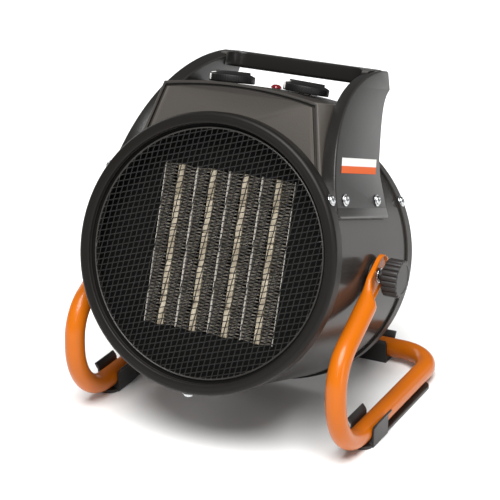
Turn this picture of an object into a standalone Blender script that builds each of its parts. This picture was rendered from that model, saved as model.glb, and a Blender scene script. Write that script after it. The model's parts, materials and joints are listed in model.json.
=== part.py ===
"""Round ceramic (PTC) space heater that tilts in a bent-tube stand. Metres, +Z up, the front faces -Y."""

import math

import bmesh
import bpy
from mathutils import Vector

# Layout: the floor is z = 0, and the drum hangs on a left-right axis through the clamp studs.
PIVOT_Y = -0.0144
PIVOT_Z = 0.1221
PIVOT_TO_FRONT = 0.079
TILT = math.radians(17.9)
GAP = 0.0003

# Drum and its two rings
RING_RADIUS = 0.100
RING_OPENING = 0.0916
RING_DEPTH = 0.0128
SHELL_RADIUS = 0.0975
SHELL_WALL = 0.0010
SHELL_FRONT = 0.0052
SHELL_REAR = 0.1515
REAR_RING_FRONT = 0.1458
REAR_RING_BACK = 0.1575
REAR_RING_RADIUS = 0.0990
RING_WALL = 0.0014
ROUND_STEPS = 48
HALF_STEP = math.pi / ROUND_STEPS

# Guards
GUARD_DEPTH = 0.0049
GUARD_THICKNESS = 0.0010
GUARD_RADIUS = 0.0889
GUARD_RIM = 0.0018
GUARD_PITCH = 0.02040
GUARD_BAR = 0.0018
GUARD_ANGLES = (math.radians(17.6), math.radians(82.3))
GUARD_TAB_REACH = 0.0957
GUARD_TAB_HALF = math.radians(4.0)
SMALLEST_CELL = 12e-6
REAR_GUARD_DEPTH = 0.1553
REAR_GUARD_RADIUS = 0.0955
REAR_SLOTS = ((0.0240, 0.0400, 10), (0.0460, 0.0620, 16), (0.0680, 0.0860, 22))
REAR_GUARD_THICKNESS = 0.0009

# Heating block: four ceramic rods, each between two folded fins
BLOCK_WIDTH = 0.1030
BLOCK_HEIGHT = 0.1162
BLOCK_FRONT = 0.0250
BLOCK_DEPTH = 0.0240
ROD_COUNT = 4
ROD_WIDTH = 0.0046
ROD_TONGUE = 0.0045
ROD_TONGUE_DEPTH = 0.0100
FIN_STRIP = 0.0006
FIN_SHEET = 0.0006
FIN_FOLDS = 9
HOLDER_HEIGHT = 0.0080
HOLDER_DEPTH = 0.0180
BAFFLE_DEPTH = 0.0250
BAFFLE_THICKNESS = 0.0010
CUTOUT_RADIUS = 0.0085
CUTOUT_X = 0.0200

# Fan and motor
FAN_RADIUS = 0.0820
FAN_HUB_RADIUS = 0.0200
FAN_FRONT = 0.0600
FAN_REAR = 0.0820
FAN_BLADES = 7
SHAFT_RADIUS = 0.0025
MOTOR_RADIUS = 0.0290
MOTOR_FRONT = 0.0880
MOTOR_REAR = 0.1240
SPIDER_THICKNESS = 0.0016
SPIDER_HUB = 0.0330
SPIDER_RIM = 0.0900
SPIDER_ARM_HALF = 0.0055
MOTOR_BEARING = 0.0080
MOTOR_EDGE = 0.0020
BLADE_CHORD = (0.0115, 0.0225)
BLADE_PITCH = (math.radians(42.0), math.radians(23.0))
BLADE_CAMBER = 0.0020

# Stand tube and feet
TUBE_RADIUS = 0.0075
TUBE_SIDES = 16
TUBE_FLOOR_Z = 0.0105
LEG_X_FLOOR = 0.1053
LEG_X_TOP = 0.1042
LEG_SLOPE = math.radians(27.7)
LEG_FRONT_REACH = 0.0779
UPPER_BEND = 0.0330
LOWER_BEND = 0.0450
CORNER_BEND = 0.0300
CROSS_TUBE_Y = 0.1069
PLATE_X = 0.1015
PLATE_HALF_THICKNESS = 0.0022
PLATE_HALF_WIDTH = 0.0112
PLATE_DISH = 0.0015
PLATE_TIP = 0.0058
PLATE_END = 0.0150
TUBE_START = 0.0285
FOOT_WIDTH = 0.0170
FOOT_THICKNESS = 0.0027
CLIP_LENGTH = 0.0270
CLIP_HEIGHT = 0.0200
CLIP_WALL = 0.0016
CLIP_LIP = 0.0026
SIDE_FOOT_FRONT_Y = -0.0514
SIDE_FOOT_REAR_Y = 0.0761
SIDE_CLIP_FRONT_Y = -0.0439
REAR_FOOT_HALF = 0.0660

# Clamp knobs
STUD_RADIUS = 0.0029
BORE_RADIUS = 0.0033
KNOB_RADIUS = 0.0138
KNOB_FLUTES = 14
KNOB_FLUTE_DEPTH = 0.0011
KNOB_THICKNESS = 0.0120
KNOB_INNER_X = 0.1092
NECK_RADIUS = 0.0058
STUD_INNER_X = 0.0880
WASHER_RADIUS = 0.0065
WASHER_THICKNESS = 0.0012
SPACER_RADIUS = 0.0100
NUT_RADIUS = 0.0062
NUT_THICKNESS = 0.0050

# Handle
ARM_LEAN = math.atan(0.25)
ARM_FOOT_X = 0.0888
ARM_FOOT_UP = 0.0472
ARM_THICKNESS = 0.0103
ARM_FRONT_CURVE = ((0.0140, 0.0560), (0.0200, 0.1020), (0.0580, 0.1360), (0.1220, 0.1452))
ARM_REAR_CURVE = ((0.1393, 0.1315), (0.1220, 0.1240), (0.1160, 0.1080), (0.1050, 0.0800))
ARM_TOP_BACK = (0.1370, 0.1457)
ARM_FOOT_BACK = 0.1115
ARM_ROUNDING = 0.0012
ARM_FOOT_CUT = 0.0440
ARM_NECK = (0.1040, 0.0690)
LIP_THICKNESS = 0.0026
LIP_ANGLES = (math.radians(23.2), math.radians(30.0))
GRIP_FRONT = 0.1200
GRIP_BOTTOM = 0.1328
GRIP_TOP = 0.1458
GRIP_CORNER = 0.0120
GRIP_SHOULDER_X = 0.0552
GRIP_HALF = 0.0600
GRIP_ROUNDING = 0.0018
HANDLE_SCREW_UP = 0.0518
HANDLE_SCREW_DEPTHS = (0.0300, 0.0913)

# Control box
BOX_TOP_HALF = 0.0606
BOX_TOP_CORNER = 0.1155
BOX_CROWN = 0.1210
BOX_SLOPE = 0.25
BOX_BOTTOM = 0.0600
BOX_FRONT_FOOT = 0.0750
BOX_FRONT = 0.01975
BOX_FRONT_LEAN = 0.11
BOX_REAR = 0.1000
BOX_WALL = 0.0022
BOX_ROUNDING = 0.0012
CONTROL_DEPTH = 0.0700
CONTROL_X = 0.0295
CONTROL_KNOB_RADIUS = 0.0168
CONTROL_TILT = math.radians(2.5)
CONTROL_SEAT = 0.1197
CONTROL_KNOB_LIFT = 0.0011
CONTROL_KNOB_HEIGHT = 0.0062
CONTROL_SHAFT = 0.0030
LAMP_DEPTH = 0.0840
LAMP_RADIUS = 0.0042
INLET_X = 0.0320
INLET_UP = 0.1050
INLET_RADIUS = 0.0059
LABEL_LENGTH = 0.0660
LABEL_START = 0.0272
LABEL_LOW = 0.0236
LABEL_SHEAR = 0.0042
LABEL_THICKNESS = 0.0002
LABEL_HEIGHT = 0.0108

# Screws
SCREW_FLANGE = 0.0044
SCREW_HEAD = 0.0035
SCREW_HEIGHT = 0.0026
SCREW_SHANK = 0.0019
SCREW_LENGTH = 0.0075
SCREW_ANGLES = tuple(math.radians(angle) for angle in (30.9, 150.0, 270.0))
FRONT_SCREW_DEPTH = 0.0085
REAR_SCREW_DEPTH = 0.1490

for old in list(bpy.data.objects):
    bpy.data.objects.remove(old, do_unlink=True)
for old in list(bpy.data.collections):
    bpy.data.collections.remove(old)
HEATER = bpy.data.collections.new("ceramic_heater")
HELPERS = bpy.data.collections.new("helpers")
bpy.context.scene.collection.children.link(HEATER)
bpy.context.scene.collection.children.link(HELPERS)


def add(name, data, parent, location=(0, 0, 0), rotation=(0, 0, 0), helper=False):
    """A new object in the heater's collection, or a hidden one that only shapes others."""
    obj = bpy.data.objects.new(name, data)
    (HELPERS if helper else HEATER).objects.link(obj)
    obj.parent = parent
    obj.location = location
    obj.rotation_euler = rotation
    if helper:
        obj.hide_render = True
        obj.display_type = "WIRE"
    return obj


def paint(obj, color, roughness, metallic=0.0):
    """Gives the object its own Principled material."""
    material = bpy.data.materials.new(obj.name + "_finish")
    material.use_nodes = True
    shader = material.node_tree.nodes["Principled BSDF"]
    shader.inputs["Base Color"].default_value = (*color, 1.0)
    shader.inputs["Roughness"].default_value = roughness
    shader.inputs["Metallic"].default_value = metallic
    if not obj.material_slots:
        obj.data.materials.append(None)
    obj.material_slots[0].link = "OBJECT"
    obj.material_slots[0].material = material
    return obj


def dark_plastic(obj):
    return paint(obj, (0.035, 0.035, 0.037), 0.45)


def dark_paint(obj):
    return paint(obj, (0.060, 0.057, 0.054), 0.38, 0.1)


def zinc(obj):
    return paint(obj, (0.66, 0.67, 0.68), 0.30, 1.0)


def smooth(mesh, degrees=35.0):
    mesh.shade_smooth()
    mesh.set_sharp_from_angle(angle=math.radians(degrees))
    return mesh


def baked(obj):
    """The object's evaluated shape as a plain welded mesh; the object itself goes."""
    graph = bpy.context.evaluated_depsgraph_get()
    mesh = bpy.data.meshes.new_from_object(obj.evaluated_get(graph))
    bpy.data.objects.remove(obj, do_unlink=True)
    shape = bmesh.new()
    shape.from_mesh(mesh)
    bmesh.ops.remove_doubles(shape, verts=shape.verts, dist=1e-6)
    bmesh.ops.recalc_face_normals(shape, faces=shape.faces)
    shape.to_mesh(mesh)
    shape.free()
    return smooth(mesh)


def turned(profile, steps=ROUND_STEPS, closed=False):
    """A mesh turned round Z from (radius, height) points that run down the outer side."""
    mesh = bpy.data.meshes.new("turned")
    count = len(profile)
    edges = [(i, (i + 1) % count) for i in range(count if closed else count - 1)]
    mesh.from_pydata([(radius, 0.0, height) for radius, height in profile], edges, [])
    obj = add("turning", mesh, None)
    screw = obj.modifiers.new("Turn", "SCREW")
    screw.axis = "Z"
    screw.angle = math.tau
    screw.steps = steps
    screw.render_steps = steps
    screw.use_merge_vertices = True
    screw.merge_threshold = 1e-5
    return baked(obj)


def slab(outlines, depth, rounding=0.0, segments=1):
    """A flat mesh of this depth, centred on z = 0, from an outline and any holes in it."""
    curve = bpy.data.curves.new("outline", "CURVE")
    curve.dimensions = "2D"
    curve.fill_mode = "BOTH"
    for outline in outlines:
        spline = curve.splines.new("POLY")
        spline.points.add(len(outline) - 1)
        spline.use_cyclic_u = True
        for point, (x, y) in zip(spline.points, outline):
            point.co = (x, y, 0.0, 1.0)
    curve.extrude = depth / 2 - rounding
    curve.bevel_depth = rounding
    curve.bevel_resolution = segments - 1
    curve.offset = -rounding
    return baked(add("outlining", curve, None))


def arc(radius, start, end, steps, centre=(0.0, 0.0)):
    """Points along an arc, ends included; angles in radians."""
    angles = [start + (end - start) * i / steps for i in range(steps + 1)]
    return [(centre[0] + radius * math.cos(a), centre[1] + radius * math.sin(a)) for a in angles]


def circle(radius, steps=24, centre=(0.0, 0.0)):
    return arc(radius, 0.0, math.tau, steps, centre)[:-1]


def box_outline(width, height, centre=(0.0, 0.0)):
    x, y = centre
    w, h = width / 2, height / 2
    return [(x - w, y - h), (x + w, y - h), (x + w, y + h), (x - w, y + h)]


def bezier(points, steps):
    """Points along a cubic curve, ends included."""
    found = []
    for i in range(steps + 1):
        t = i / steps
        weights = ((1 - t) ** 3, 3 * t * (1 - t) ** 2, 3 * t * t * (1 - t), t**3)
        found.append(tuple(sum(w * p[k] for w, p in zip(weights, points)) for k in range(2)))
    return found


def rod(radius, length, steps=16):
    """A cylinder mesh along Z, centred on the origin."""
    half = length / 2
    return turned([(0.0, half), (radius, half), (radius, -half), (0.0, -half)], steps)


def shape_with(obj, operation, mesh, location=(0, 0, 0), rotation=(0, 0, 0), parent=None):
    """Cuts the mesh from the object, joins it on, or keeps what they share."""
    tool = add(obj.name + "_tool", mesh, parent or obj.parent, location, rotation, helper=True)
    modifier = obj.modifiers.new(operation.lower(), "BOOLEAN")
    modifier.operation = operation
    modifier.solver = "EXACT"
    modifier.object = tool
    return obj


def clip_to_circle(polygon, radius, sides=36):
    """The part of a convex polygon inside a circle."""
    for i in range(sides):
        angle = math.tau * (i + 0.5) / sides
        normal = (math.cos(angle), math.sin(angle))
        reach = radius * math.cos(math.pi / sides)
        kept = []
        for j, here in enumerate(polygon):
            before = polygon[j - 1]
            inside_here = here[0] * normal[0] + here[1] * normal[1] - reach
            inside_before = before[0] * normal[0] + before[1] * normal[1] - reach
            if (inside_here <= 0) != (inside_before <= 0):
                t = inside_before / (inside_before - inside_here)
                kept.append(tuple(before[k] + t * (here[k] - before[k]) for k in range(2)))
            if inside_here <= 0:
                kept.append(here)
        polygon = kept
        if not polygon:
            return []
    return polygon


def area_of(polygon):
    pairs = zip(polygon, polygon[1:] + polygon[:1])
    return abs(sum(a[0] * b[1] - b[0] * a[1] for a, b in pairs)) / 2


def guard_cells(radius):
    """The openings of a crossed-wire guard, clipped to its rim."""
    first, second = [(math.cos(a), math.sin(a)) for a in GUARD_ANGLES]
    stretch = 1.0 / math.sin(GUARD_ANGLES[1] - GUARD_ANGLES[0])
    half = (GUARD_PITCH - GUARD_BAR) * stretch / 2
    count = int(radius / GUARD_PITCH) + 2
    cells = []
    for i in range(-count, count + 1):
        for j in range(-count, count + 1):
            corners = []
            for s, t in ((-1, -1), (1, -1), (1, 1), (-1, 1)):
                along = (i + 0.5) * GUARD_PITCH * stretch + half * s
                across = (j + 0.5) * GUARD_PITCH * stretch + half * t
                corners.append(tuple(along * first[k] + across * second[k] for k in range(2)))
            cell = clip_to_circle(corners, radius)
            if cell and area_of(cell) > SMALLEST_CELL:
                cells.append(cell)
    return cells


def loft(rings):
    """A closed mesh through rings of equal point count, with flat ends."""
    shape = bmesh.new()
    made = [[shape.verts.new(point) for point in ring] for ring in rings]
    count = len(made[0])
    for near, far in zip(made, made[1:]):
        for i in range(count):
            j = (i + 1) % count
            shape.faces.new((near[i], near[j], far[j], far[i]))
    shape.faces.new(made[0][::-1])
    shape.faces.new(made[-1])
    bmesh.ops.recalc_face_normals(shape, faces=shape.faces)
    mesh = bpy.data.meshes.new("loft")
    shape.to_mesh(mesh)
    shape.free()
    return smooth(mesh, 50.0)


# Frames. In the face frame x is right, y is up in the drum's face and z points out of its front.
stand = bpy.data.objects.new("stand_frame", None)
drum = bpy.data.objects.new("drum_frame", None)
face = bpy.data.objects.new("face_frame", None)
for frame in (stand, drum, face):
    HEATER.objects.link(frame)
drum.location = (0.0, PIVOT_Y, PIVOT_Z)
drum.rotation_euler = (-TILT, 0.0, 0.0)
face.parent = drum
face.location = (0.0, -PIVOT_TO_FRONT, 0.0)
face.rotation_euler = (math.pi / 2, 0.0, 0.0)
SIDEWAYS = (0.0, math.pi / 2, 0.0)
OFF_SEAM = (0.0, 0.0, HALF_STEP)
FLATWAYS = (math.pi / 2, 0.0, 0.0)
UPWAYS = (-math.pi / 2, 0.0, 0.0)
BACKWARDS = (math.pi, 0.0, 0.0)


def leg_path():
    """Right half of the tube from the straight leg to mid-back: centres and directions in y and z."""
    down = Vector((-math.cos(LEG_SLOPE), -math.sin(LEG_SLOPE)))
    side = Vector((math.sin(LEG_SLOPE), -math.cos(LEG_SLOPE)))
    pivot = Vector((PIVOT_Y, PIVOT_Z))
    front_y = PIVOT_Y - LEG_FRONT_REACH
    centre_y = front_y + UPPER_BEND
    reach = ((centre_y - PIVOT_Y) * side.x - UPPER_BEND) / side.y
    upper = Vector((centre_y, PIVOT_Z - reach))
    lower = Vector((front_y + LOWER_BEND, TUBE_FLOOR_Z + LOWER_BEND))
    straight_end = (upper - side * UPPER_BEND - pivot).dot(down)
    points = [(pivot + down * s, down) for s in (TUBE_START + 0.0015, straight_end - 0.001)]
    for i in range(6):
        angle = math.pi / 2 + LEG_SLOPE + (math.pi / 2 - LEG_SLOPE) * i / 5
        offset = Vector((math.cos(angle), math.sin(angle)))
        points.append((upper + offset * UPPER_BEND, Vector((-offset.y, offset.x))))
    for i in range(8):
        angle = math.pi + math.pi / 2 * i / 7
        offset = Vector((math.cos(angle), math.sin(angle)))
        points.append((lower + offset * LOWER_BEND, Vector((-offset.y, offset.x))))
    return points


def leg_x(z):
    share = (z - TUBE_FLOOR_Z) / (PIVOT_Z - TUBE_FLOOR_Z)
    return LEG_X_FLOOR + (LEG_X_TOP - LEG_X_FLOOR) * share


def plate_ring(s, half_width, flatness):
    """A section of the pressed tube end, s along the leg from the pivot; flatness runs 0 to 1."""
    along = Vector((0.0, -math.cos(LEG_SLOPE), -math.sin(LEG_SLOPE)))
    across = Vector((0.0, -math.sin(LEG_SLOPE), math.cos(LEG_SLOPE)))
    middle = Vector((0.0, PIVOT_Y, PIVOT_Z)) + along * s
    middle.x = PLATE_X * flatness + leg_x(middle.z) * (1 - flatness)
    ring = []
    for i in range(TUBE_SIDES):
        angle = math.tau * i / TUBE_SIDES
        c, n = math.cos(angle), math.sin(angle)
        flat_u = half_width * math.copysign(abs(c) ** 0.5, c)
        flat_v = PLATE_HALF_THICKNESS * math.copysign(abs(n) ** 0.3, n)
        if n > 0 and half_width > 0.009 and abs(c) < 0.75:
            flat_v -= PLATE_DISH
        u = flat_u * flatness + TUBE_RADIUS * c * (1 - flatness)
        v = flat_v * flatness + TUBE_RADIUS * n * (1 - flatness)
        ring.append(middle + across * u + Vector((v, 0.0, 0.0)))
    return ring


def stand_rings():
    """Every section of the right half of the tube, from the pressed tip to the middle of the back."""
    rings = []
    for angle in (84, 60, 30):
        reach = -PLATE_TIP - PLATE_HALF_WIDTH * math.sin(math.radians(angle))
        rings.append(plate_ring(reach, PLATE_HALF_WIDTH * math.cos(math.radians(angle)), 1.0))
    rings.append(plate_ring(-PLATE_TIP, PLATE_HALF_WIDTH, 1.0))
    for share, width, flatness in ((0.0, 1.0, 1.0), (0.3, 0.95, 0.8), (0.67, 0.8, 0.25), (1.0, 0.7, 0.0)):
        reach = PLATE_END + (TUBE_START - PLATE_END) * share
        rings.append(plate_ring(reach, PLATE_HALF_WIDTH * width, flatness))
    for (y, z), (dy, dz) in [(tuple(a), tuple(b)) for a, b in leg_path()]:
        up = Vector((0.0, dz, -dy))
        ring = []
        for i in range(TUBE_SIDES):
            angle = math.tau * i / TUBE_SIDES
            offset = up * math.cos(angle) + Vector((math.sin(angle), 0.0, 0.0))
            ring.append(Vector((leg_x(z), y, z)) + offset * TUBE_RADIUS)
        rings.append(ring)
    corner_x = LEG_X_FLOOR - CORNER_BEND
    corner_y = CROSS_TUBE_Y - CORNER_BEND
    stations = [((LEG_X_FLOOR, (SIDE_FOOT_FRONT_Y + corner_y) / 2), (0.0, 1.0))]
    for i in range(8):
        angle = math.pi / 2 * i / 7
        place = (corner_x + CORNER_BEND * math.cos(angle), corner_y + CORNER_BEND * math.sin(angle))
        stations.append((place, (-math.sin(angle), math.cos(angle))))
    stations.append(((0.0, CROSS_TUBE_Y), (-1.0, 0.0)))
    for (x, y), (dx, dy) in stations:
        outward = Vector((dy, -dx, 0.0))
        ring = []
        for i in range(TUBE_SIDES):
            angle = math.tau * i / TUBE_SIDES
            offset = Vector((0.0, 0.0, -math.cos(angle))) + outward * math.sin(angle)
            ring.append(Vector((x, y, TUBE_FLOOR_Z)) + offset * TUBE_RADIUS)
        rings.append(ring)
    return rings


def stadium(width, start, end, steps=5):
    """A strip with round ends, running along y."""
    r = width / 2
    rear = arc(r, 0.0, math.pi, steps, (0.0, end - r))
    return rear + arc(r, math.pi, math.tau, steps, (0.0, start + r))


def clip_outline():
    """Section of the clip that grips the tube: x across, y up from the floor."""
    inner = TUBE_RADIUS + GAP
    outer = inner + CLIP_WALL
    bend = TUBE_FLOOR_Z + 0.0045
    right = [(outer - 0.0009, 0.0), (outer, 0.0030), (outer, bend)]
    right += [(outer + CLIP_LIP, CLIP_HEIGHT - 0.0006), (outer + CLIP_LIP - CLIP_WALL, CLIP_HEIGHT)]
    right += [(inner + 0.0002, bend + 0.0006)]
    cradle = arc(inner, 0.0, -math.pi, 7, (0.0, TUBE_FLOOR_Z))
    left = [(-x, y) for x, y in reversed(right)]
    return right + cradle + left


def build_stand():
    rings = stand_rings()
    mirrored = [[Vector((-p.x, p.y, p.z)) for p in ring] for ring in rings[-2::-1]]
    tube = add("stand_tube", loft(rings + mirrored), stand)
    bore = rod(BORE_RADIUS, 0.26)
    shape_with(tube, "DIFFERENCE", bore, (0, PIVOT_Y, PIVOT_Z), SIDEWAYS)
    paint(tube, (0.76, 0.20, 0.03), 0.30)
    clip = slab([clip_outline()], CLIP_LENGTH, 0.0)
    for name, side in (("foot_strip_left", -1), ("foot_strip_right", 1)):
        strip = slab([stadium(FOOT_WIDTH, SIDE_FOOT_FRONT_Y, SIDE_FOOT_REAR_Y)], FOOT_THICKNESS)
        foot = add(name, strip, stand, (side * LEG_X_FLOOR, 0.0, FOOT_THICKNESS / 2))
        middle = SIDE_CLIP_FRONT_Y + CLIP_LENGTH / 2
        shape_with(foot, "UNION", clip, (side * LEG_X_FLOOR, middle, 0.0), FLATWAYS)
        paint(foot, (0.020, 0.020, 0.021), 0.55)
    strip = slab([stadium(FOOT_WIDTH, -REAR_FOOT_HALF, REAR_FOOT_HALF)], FOOT_THICKNESS)
    foot = add("foot_strip_rear", strip, stand, (0.0, CROSS_TUBE_Y, FOOT_THICKNESS / 2))
    foot.rotation_euler = (0.0, 0.0, math.pi / 2)
    for side in (-1, 1):
        middle = side * (REAR_FOOT_HALF - CLIP_LENGTH / 2)
        turn = (math.pi / 2, 0.0, math.pi / 2)
        shape_with(foot, "UNION", clip, (middle, CROSS_TUBE_Y, 0.0), turn)
    paint(foot, (0.020, 0.020, 0.021), 0.55)


def radial(radius, angle, depth):
    """Place and turn, in the face frame, of something whose Z points straight out of the drum."""
    place = (radius * math.cos(angle), radius * math.sin(angle), -depth)
    return place, (0.0, math.pi / 2, angle)


def handle_screw_spots():
    """Place and turn of the four screws through the feet of the handle."""
    x = ARM_FOOT_X - math.tan(ARM_LEAN) * (HANDLE_SCREW_UP - ARM_FOOT_UP)
    spots = []
    for side, name in ((-1, "left"), (1, "right")):
        for depth, end in zip(HANDLE_SCREW_DEPTHS, ("front", "rear")):
            turn = (0.0, side * math.pi / 2, side * ARM_LEAN)
            spots.append((name + "_" + end, (side * x, HANDLE_SCREW_UP, -depth), turn))
    return spots


def build_drum():
    shell_profile = [
        (SHELL_RADIUS, -SHELL_FRONT),
        (SHELL_RADIUS, -SHELL_REAR),
        (SHELL_RADIUS - SHELL_WALL, -SHELL_REAR),
        (SHELL_RADIUS - SHELL_WALL, -SHELL_FRONT),
    ]
    shell = add("drum_shell", turned(shell_profile, closed=True), face, rotation=OFF_SEAM)
    front_profile = [
        (RING_OPENING, -0.0012),
        (RING_OPENING + 0.0010, -0.0003),
        (RING_OPENING + 0.0028, 0.0),
        (RING_RADIUS - 0.0030, -0.0004),
        (RING_RADIUS - 0.0010, -0.0016),
        (RING_RADIUS, -0.0040),
        (RING_RADIUS, -RING_DEPTH),
        (RING_RADIUS - 0.0018, -RING_DEPTH),
        (RING_RADIUS - 0.0018, -0.0046),
        (RING_RADIUS - 0.0034, -0.0022),
        (RING_OPENING + 0.0018, -0.0018),
        (RING_OPENING + 0.0016, -0.0044),
        (RING_OPENING, -0.0044),
    ]
    ring = add("front_ring", turned(front_profile, closed=True), face, rotation=OFF_SEAM)
    rear_profile = [
        (REAR_RING_RADIUS, -REAR_RING_FRONT),
        (REAR_RING_RADIUS, -REAR_RING_BACK + 0.0027),
        (REAR_RING_RADIUS - 0.0010, -REAR_RING_BACK + 0.0007),
        (REAR_RING_RADIUS - 0.0030, -REAR_RING_BACK),
        (RING_OPENING, -REAR_RING_BACK),
        (RING_OPENING, -REAR_RING_BACK + RING_WALL),
        (REAR_RING_RADIUS - 0.0034, -REAR_RING_BACK + RING_WALL),
        (REAR_RING_RADIUS - 0.0012, -REAR_RING_BACK + 0.0030),
        (REAR_RING_RADIUS - 0.0012, -REAR_RING_FRONT),
    ]
    rear = add("rear_ring", turned(rear_profile, closed=True), face, rotation=OFF_SEAM)
    hole = rod(SCREW_SHANK + GAP, 0.012, 10)
    for angle in SCREW_ANGLES:
        for cover, depth in ((ring, FRONT_SCREW_DEPTH), (rear, REAR_SCREW_DEPTH)):
            place, turn = radial(RING_RADIUS, angle, depth)
            shape_with(cover, "DIFFERENCE", hole, place, turn)
            shape_with(shell, "DIFFERENCE", hole, place, turn)
    for _, place, turn in handle_screw_spots():
        shape_with(shell, "DIFFERENCE", rod(SCREW_SHANK + GAP, 0.030, 10), place, turn)
    bore = rod(BORE_RADIUS, 0.24)
    shape_with(shell, "DIFFERENCE", bore, (0.0, 0.0, -PIVOT_TO_FRONT), SIDEWAYS)
    wiring = slab([box_outline(0.044, 0.030)], 0.03)
    shape_with(shell, "DIFFERENCE", wiring, (0.0, SHELL_RADIUS, -0.070), FLATWAYS)
    for obj in (shell, ring, rear):
        dark_paint(obj)

    rim = []
    for angle in SCREW_ANGLES:
        start = angle + GUARD_TAB_HALF
        end = angle + math.tau / 3 - GUARD_TAB_HALF
        rim += arc(GUARD_TAB_REACH, angle - GUARD_TAB_HALF, angle + GUARD_TAB_HALF, 2)
        rim += arc(GUARD_RADIUS, start, end, 12)
    guard = slab([rim] + guard_cells(GUARD_RADIUS - GUARD_RIM), GUARD_THICKNESS)
    obj = add("front_guard", guard, face, (0, 0, -GUARD_DEPTH - GUARD_THICKNESS / 2))
    paint(obj, (0.022, 0.022, 0.022), 0.45, 0.6)
    slots = []
    for inner, outer, count in REAR_SLOTS:
        for i in range(count):
            middle = math.tau * i / count
            half = math.pi / count * 0.62
            slot = arc(outer, middle - half, middle + half, 2)
            slots.append(slot + arc(inner, middle + half, middle - half, 2))
    plate = slab([circle(REAR_GUARD_RADIUS, 40)] + slots, REAR_GUARD_THICKNESS)
    dark_paint(add("rear_guard", plate, face, (0, 0, -REAR_GUARD_DEPTH)))


def build_heating_block():
    opening = box_outline(BLOCK_WIDTH + 0.0012, BLOCK_HEIGHT + 0.0012)
    disc = slab([circle(SHELL_RADIUS - SHELL_WALL - GAP, 40), opening], BAFFLE_THICKNESS)
    baffle = add("baffle_plate", disc, face, (0, 0, -BAFFLE_DEPTH))
    paint(baffle, (0.018, 0.018, 0.018), 0.6)

    pitch = BLOCK_WIDTH / ROD_COUNT
    width = pitch / 2 - ROD_WIDTH / 2 - 1.5 * GAP
    half = BLOCK_HEIGHT / 2
    step = BLOCK_HEIGHT / (2 * FIN_FOLDS)
    slope = math.atan2(step, width)
    sideways = FIN_SHEET / math.sin(slope)
    ridge = width - FIN_STRIP / 2 - sideways
    points = [(ridge if i % 2 else 0.0, -half + i * step) for i in range(2 * FIN_FOLDS + 1)]
    band = points + [(x + sideways, y) for x, y in reversed(points)]
    folded = add("folding", slab([band], BLOCK_DEPTH), None)
    strip = slab([box_outline(FIN_STRIP, BLOCK_HEIGHT)], BLOCK_DEPTH)
    shape_with(folded, "UNION", strip, (width - FIN_STRIP / 2, 0, 0))
    fin = baked(folded)

    middle = BLOCK_DEPTH / 2
    tongue = ROD_TONGUE_DEPTH / 2
    tip = half + ROD_TONGUE
    right = [(tongue, -tip), (tongue, -half), (middle, -half)]
    right += [(middle, half), (tongue, half), (tongue, tip)]
    outline = right + [(-x, y) for x, y in reversed(right)]
    bar = slab([outline], ROD_WIDTH)
    depth = BLOCK_FRONT + middle
    pockets = []
    for i in range(ROD_COUNT):
        x = (i + 0.5) * pitch - BLOCK_WIDTH / 2
        number = str(i + 1)
        obj = add("ptc_rod_" + number, bar, face, (x, 0, -depth), SIDEWAYS)
        paint(obj, (0.55, 0.42, 0.24), 0.5)
        pockets.append(box_outline(ROD_WIDTH + 2 * GAP, ROD_TONGUE_DEPTH + 2 * GAP, (x, 0.0)))
        for name, side in (("a", -1), ("b", 1)):
            place = (x + side * (ROD_WIDTH / 2 + GAP), 0, -depth)
            turn = (0, 0, 0 if side > 0 else math.pi)
            obj = add("fin_pack_" + number + name, fin, face, place, turn)
            paint(obj, (0.52, 0.50, 0.47), 0.35, 1.0)
    frame = slab([box_outline(BLOCK_WIDTH + 0.006, HOLDER_DEPTH)] + pockets, HOLDER_HEIGHT)
    for name, side in (("block_holder_top", 1), ("block_holder_bottom", -1)):
        up = side * (half + 3 * GAP + HOLDER_HEIGHT / 2)
        obj = add(name, frame, face, (0, up, -depth), FLATWAYS)
        paint(obj, (0.10, 0.09, 0.08), 0.6)
    can_profile = [(0, 0.0040), (0.0066, 0.0040), (0.0070, 0.0010)]
    can_profile += [(CUTOUT_RADIUS, 0.0010), (CUTOUT_RADIUS, -0.0040), (0, -0.0040)]
    place = (CUTOUT_X, half + 0.0050, -BLOCK_FRONT - BLOCK_DEPTH - 0.0060)
    obj = add("thermal_cutout", turned(can_profile, 16), face, place)
    paint(obj, (0.62, 0.60, 0.56), 0.4, 1.0)


def blade_mesh():
    """One fan blade, pitched steeper at the hub than at the tip."""
    rings = []
    root = FAN_HUB_RADIUS - 0.0015
    for i in range(5):
        share = i / 4
        radius = root + (FAN_RADIUS - root) * share
        pitch = BLADE_PITCH[0] + (BLADE_PITCH[1] - BLADE_PITCH[0]) * share
        half_chord = BLADE_CHORD[0] + (BLADE_CHORD[1] - BLADE_CHORD[0]) * share
        along = Vector((0.0, math.cos(pitch), math.sin(pitch)))
        normal = Vector((0.0, -math.sin(pitch), math.cos(pitch)))
        ring = []
        for u, v in ((-1, 0.2), (-0.33, 1.2), (0.33, 1.2), (1, 0.2), (0.33, -0.1), (-0.33, -0.1)):
            middle = Vector((radius, 0, 0)) + along * (u * half_chord)
            ring.append(middle + normal * (v * BLADE_CAMBER))
        rings.append(ring)
    return loft(rings)


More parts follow.
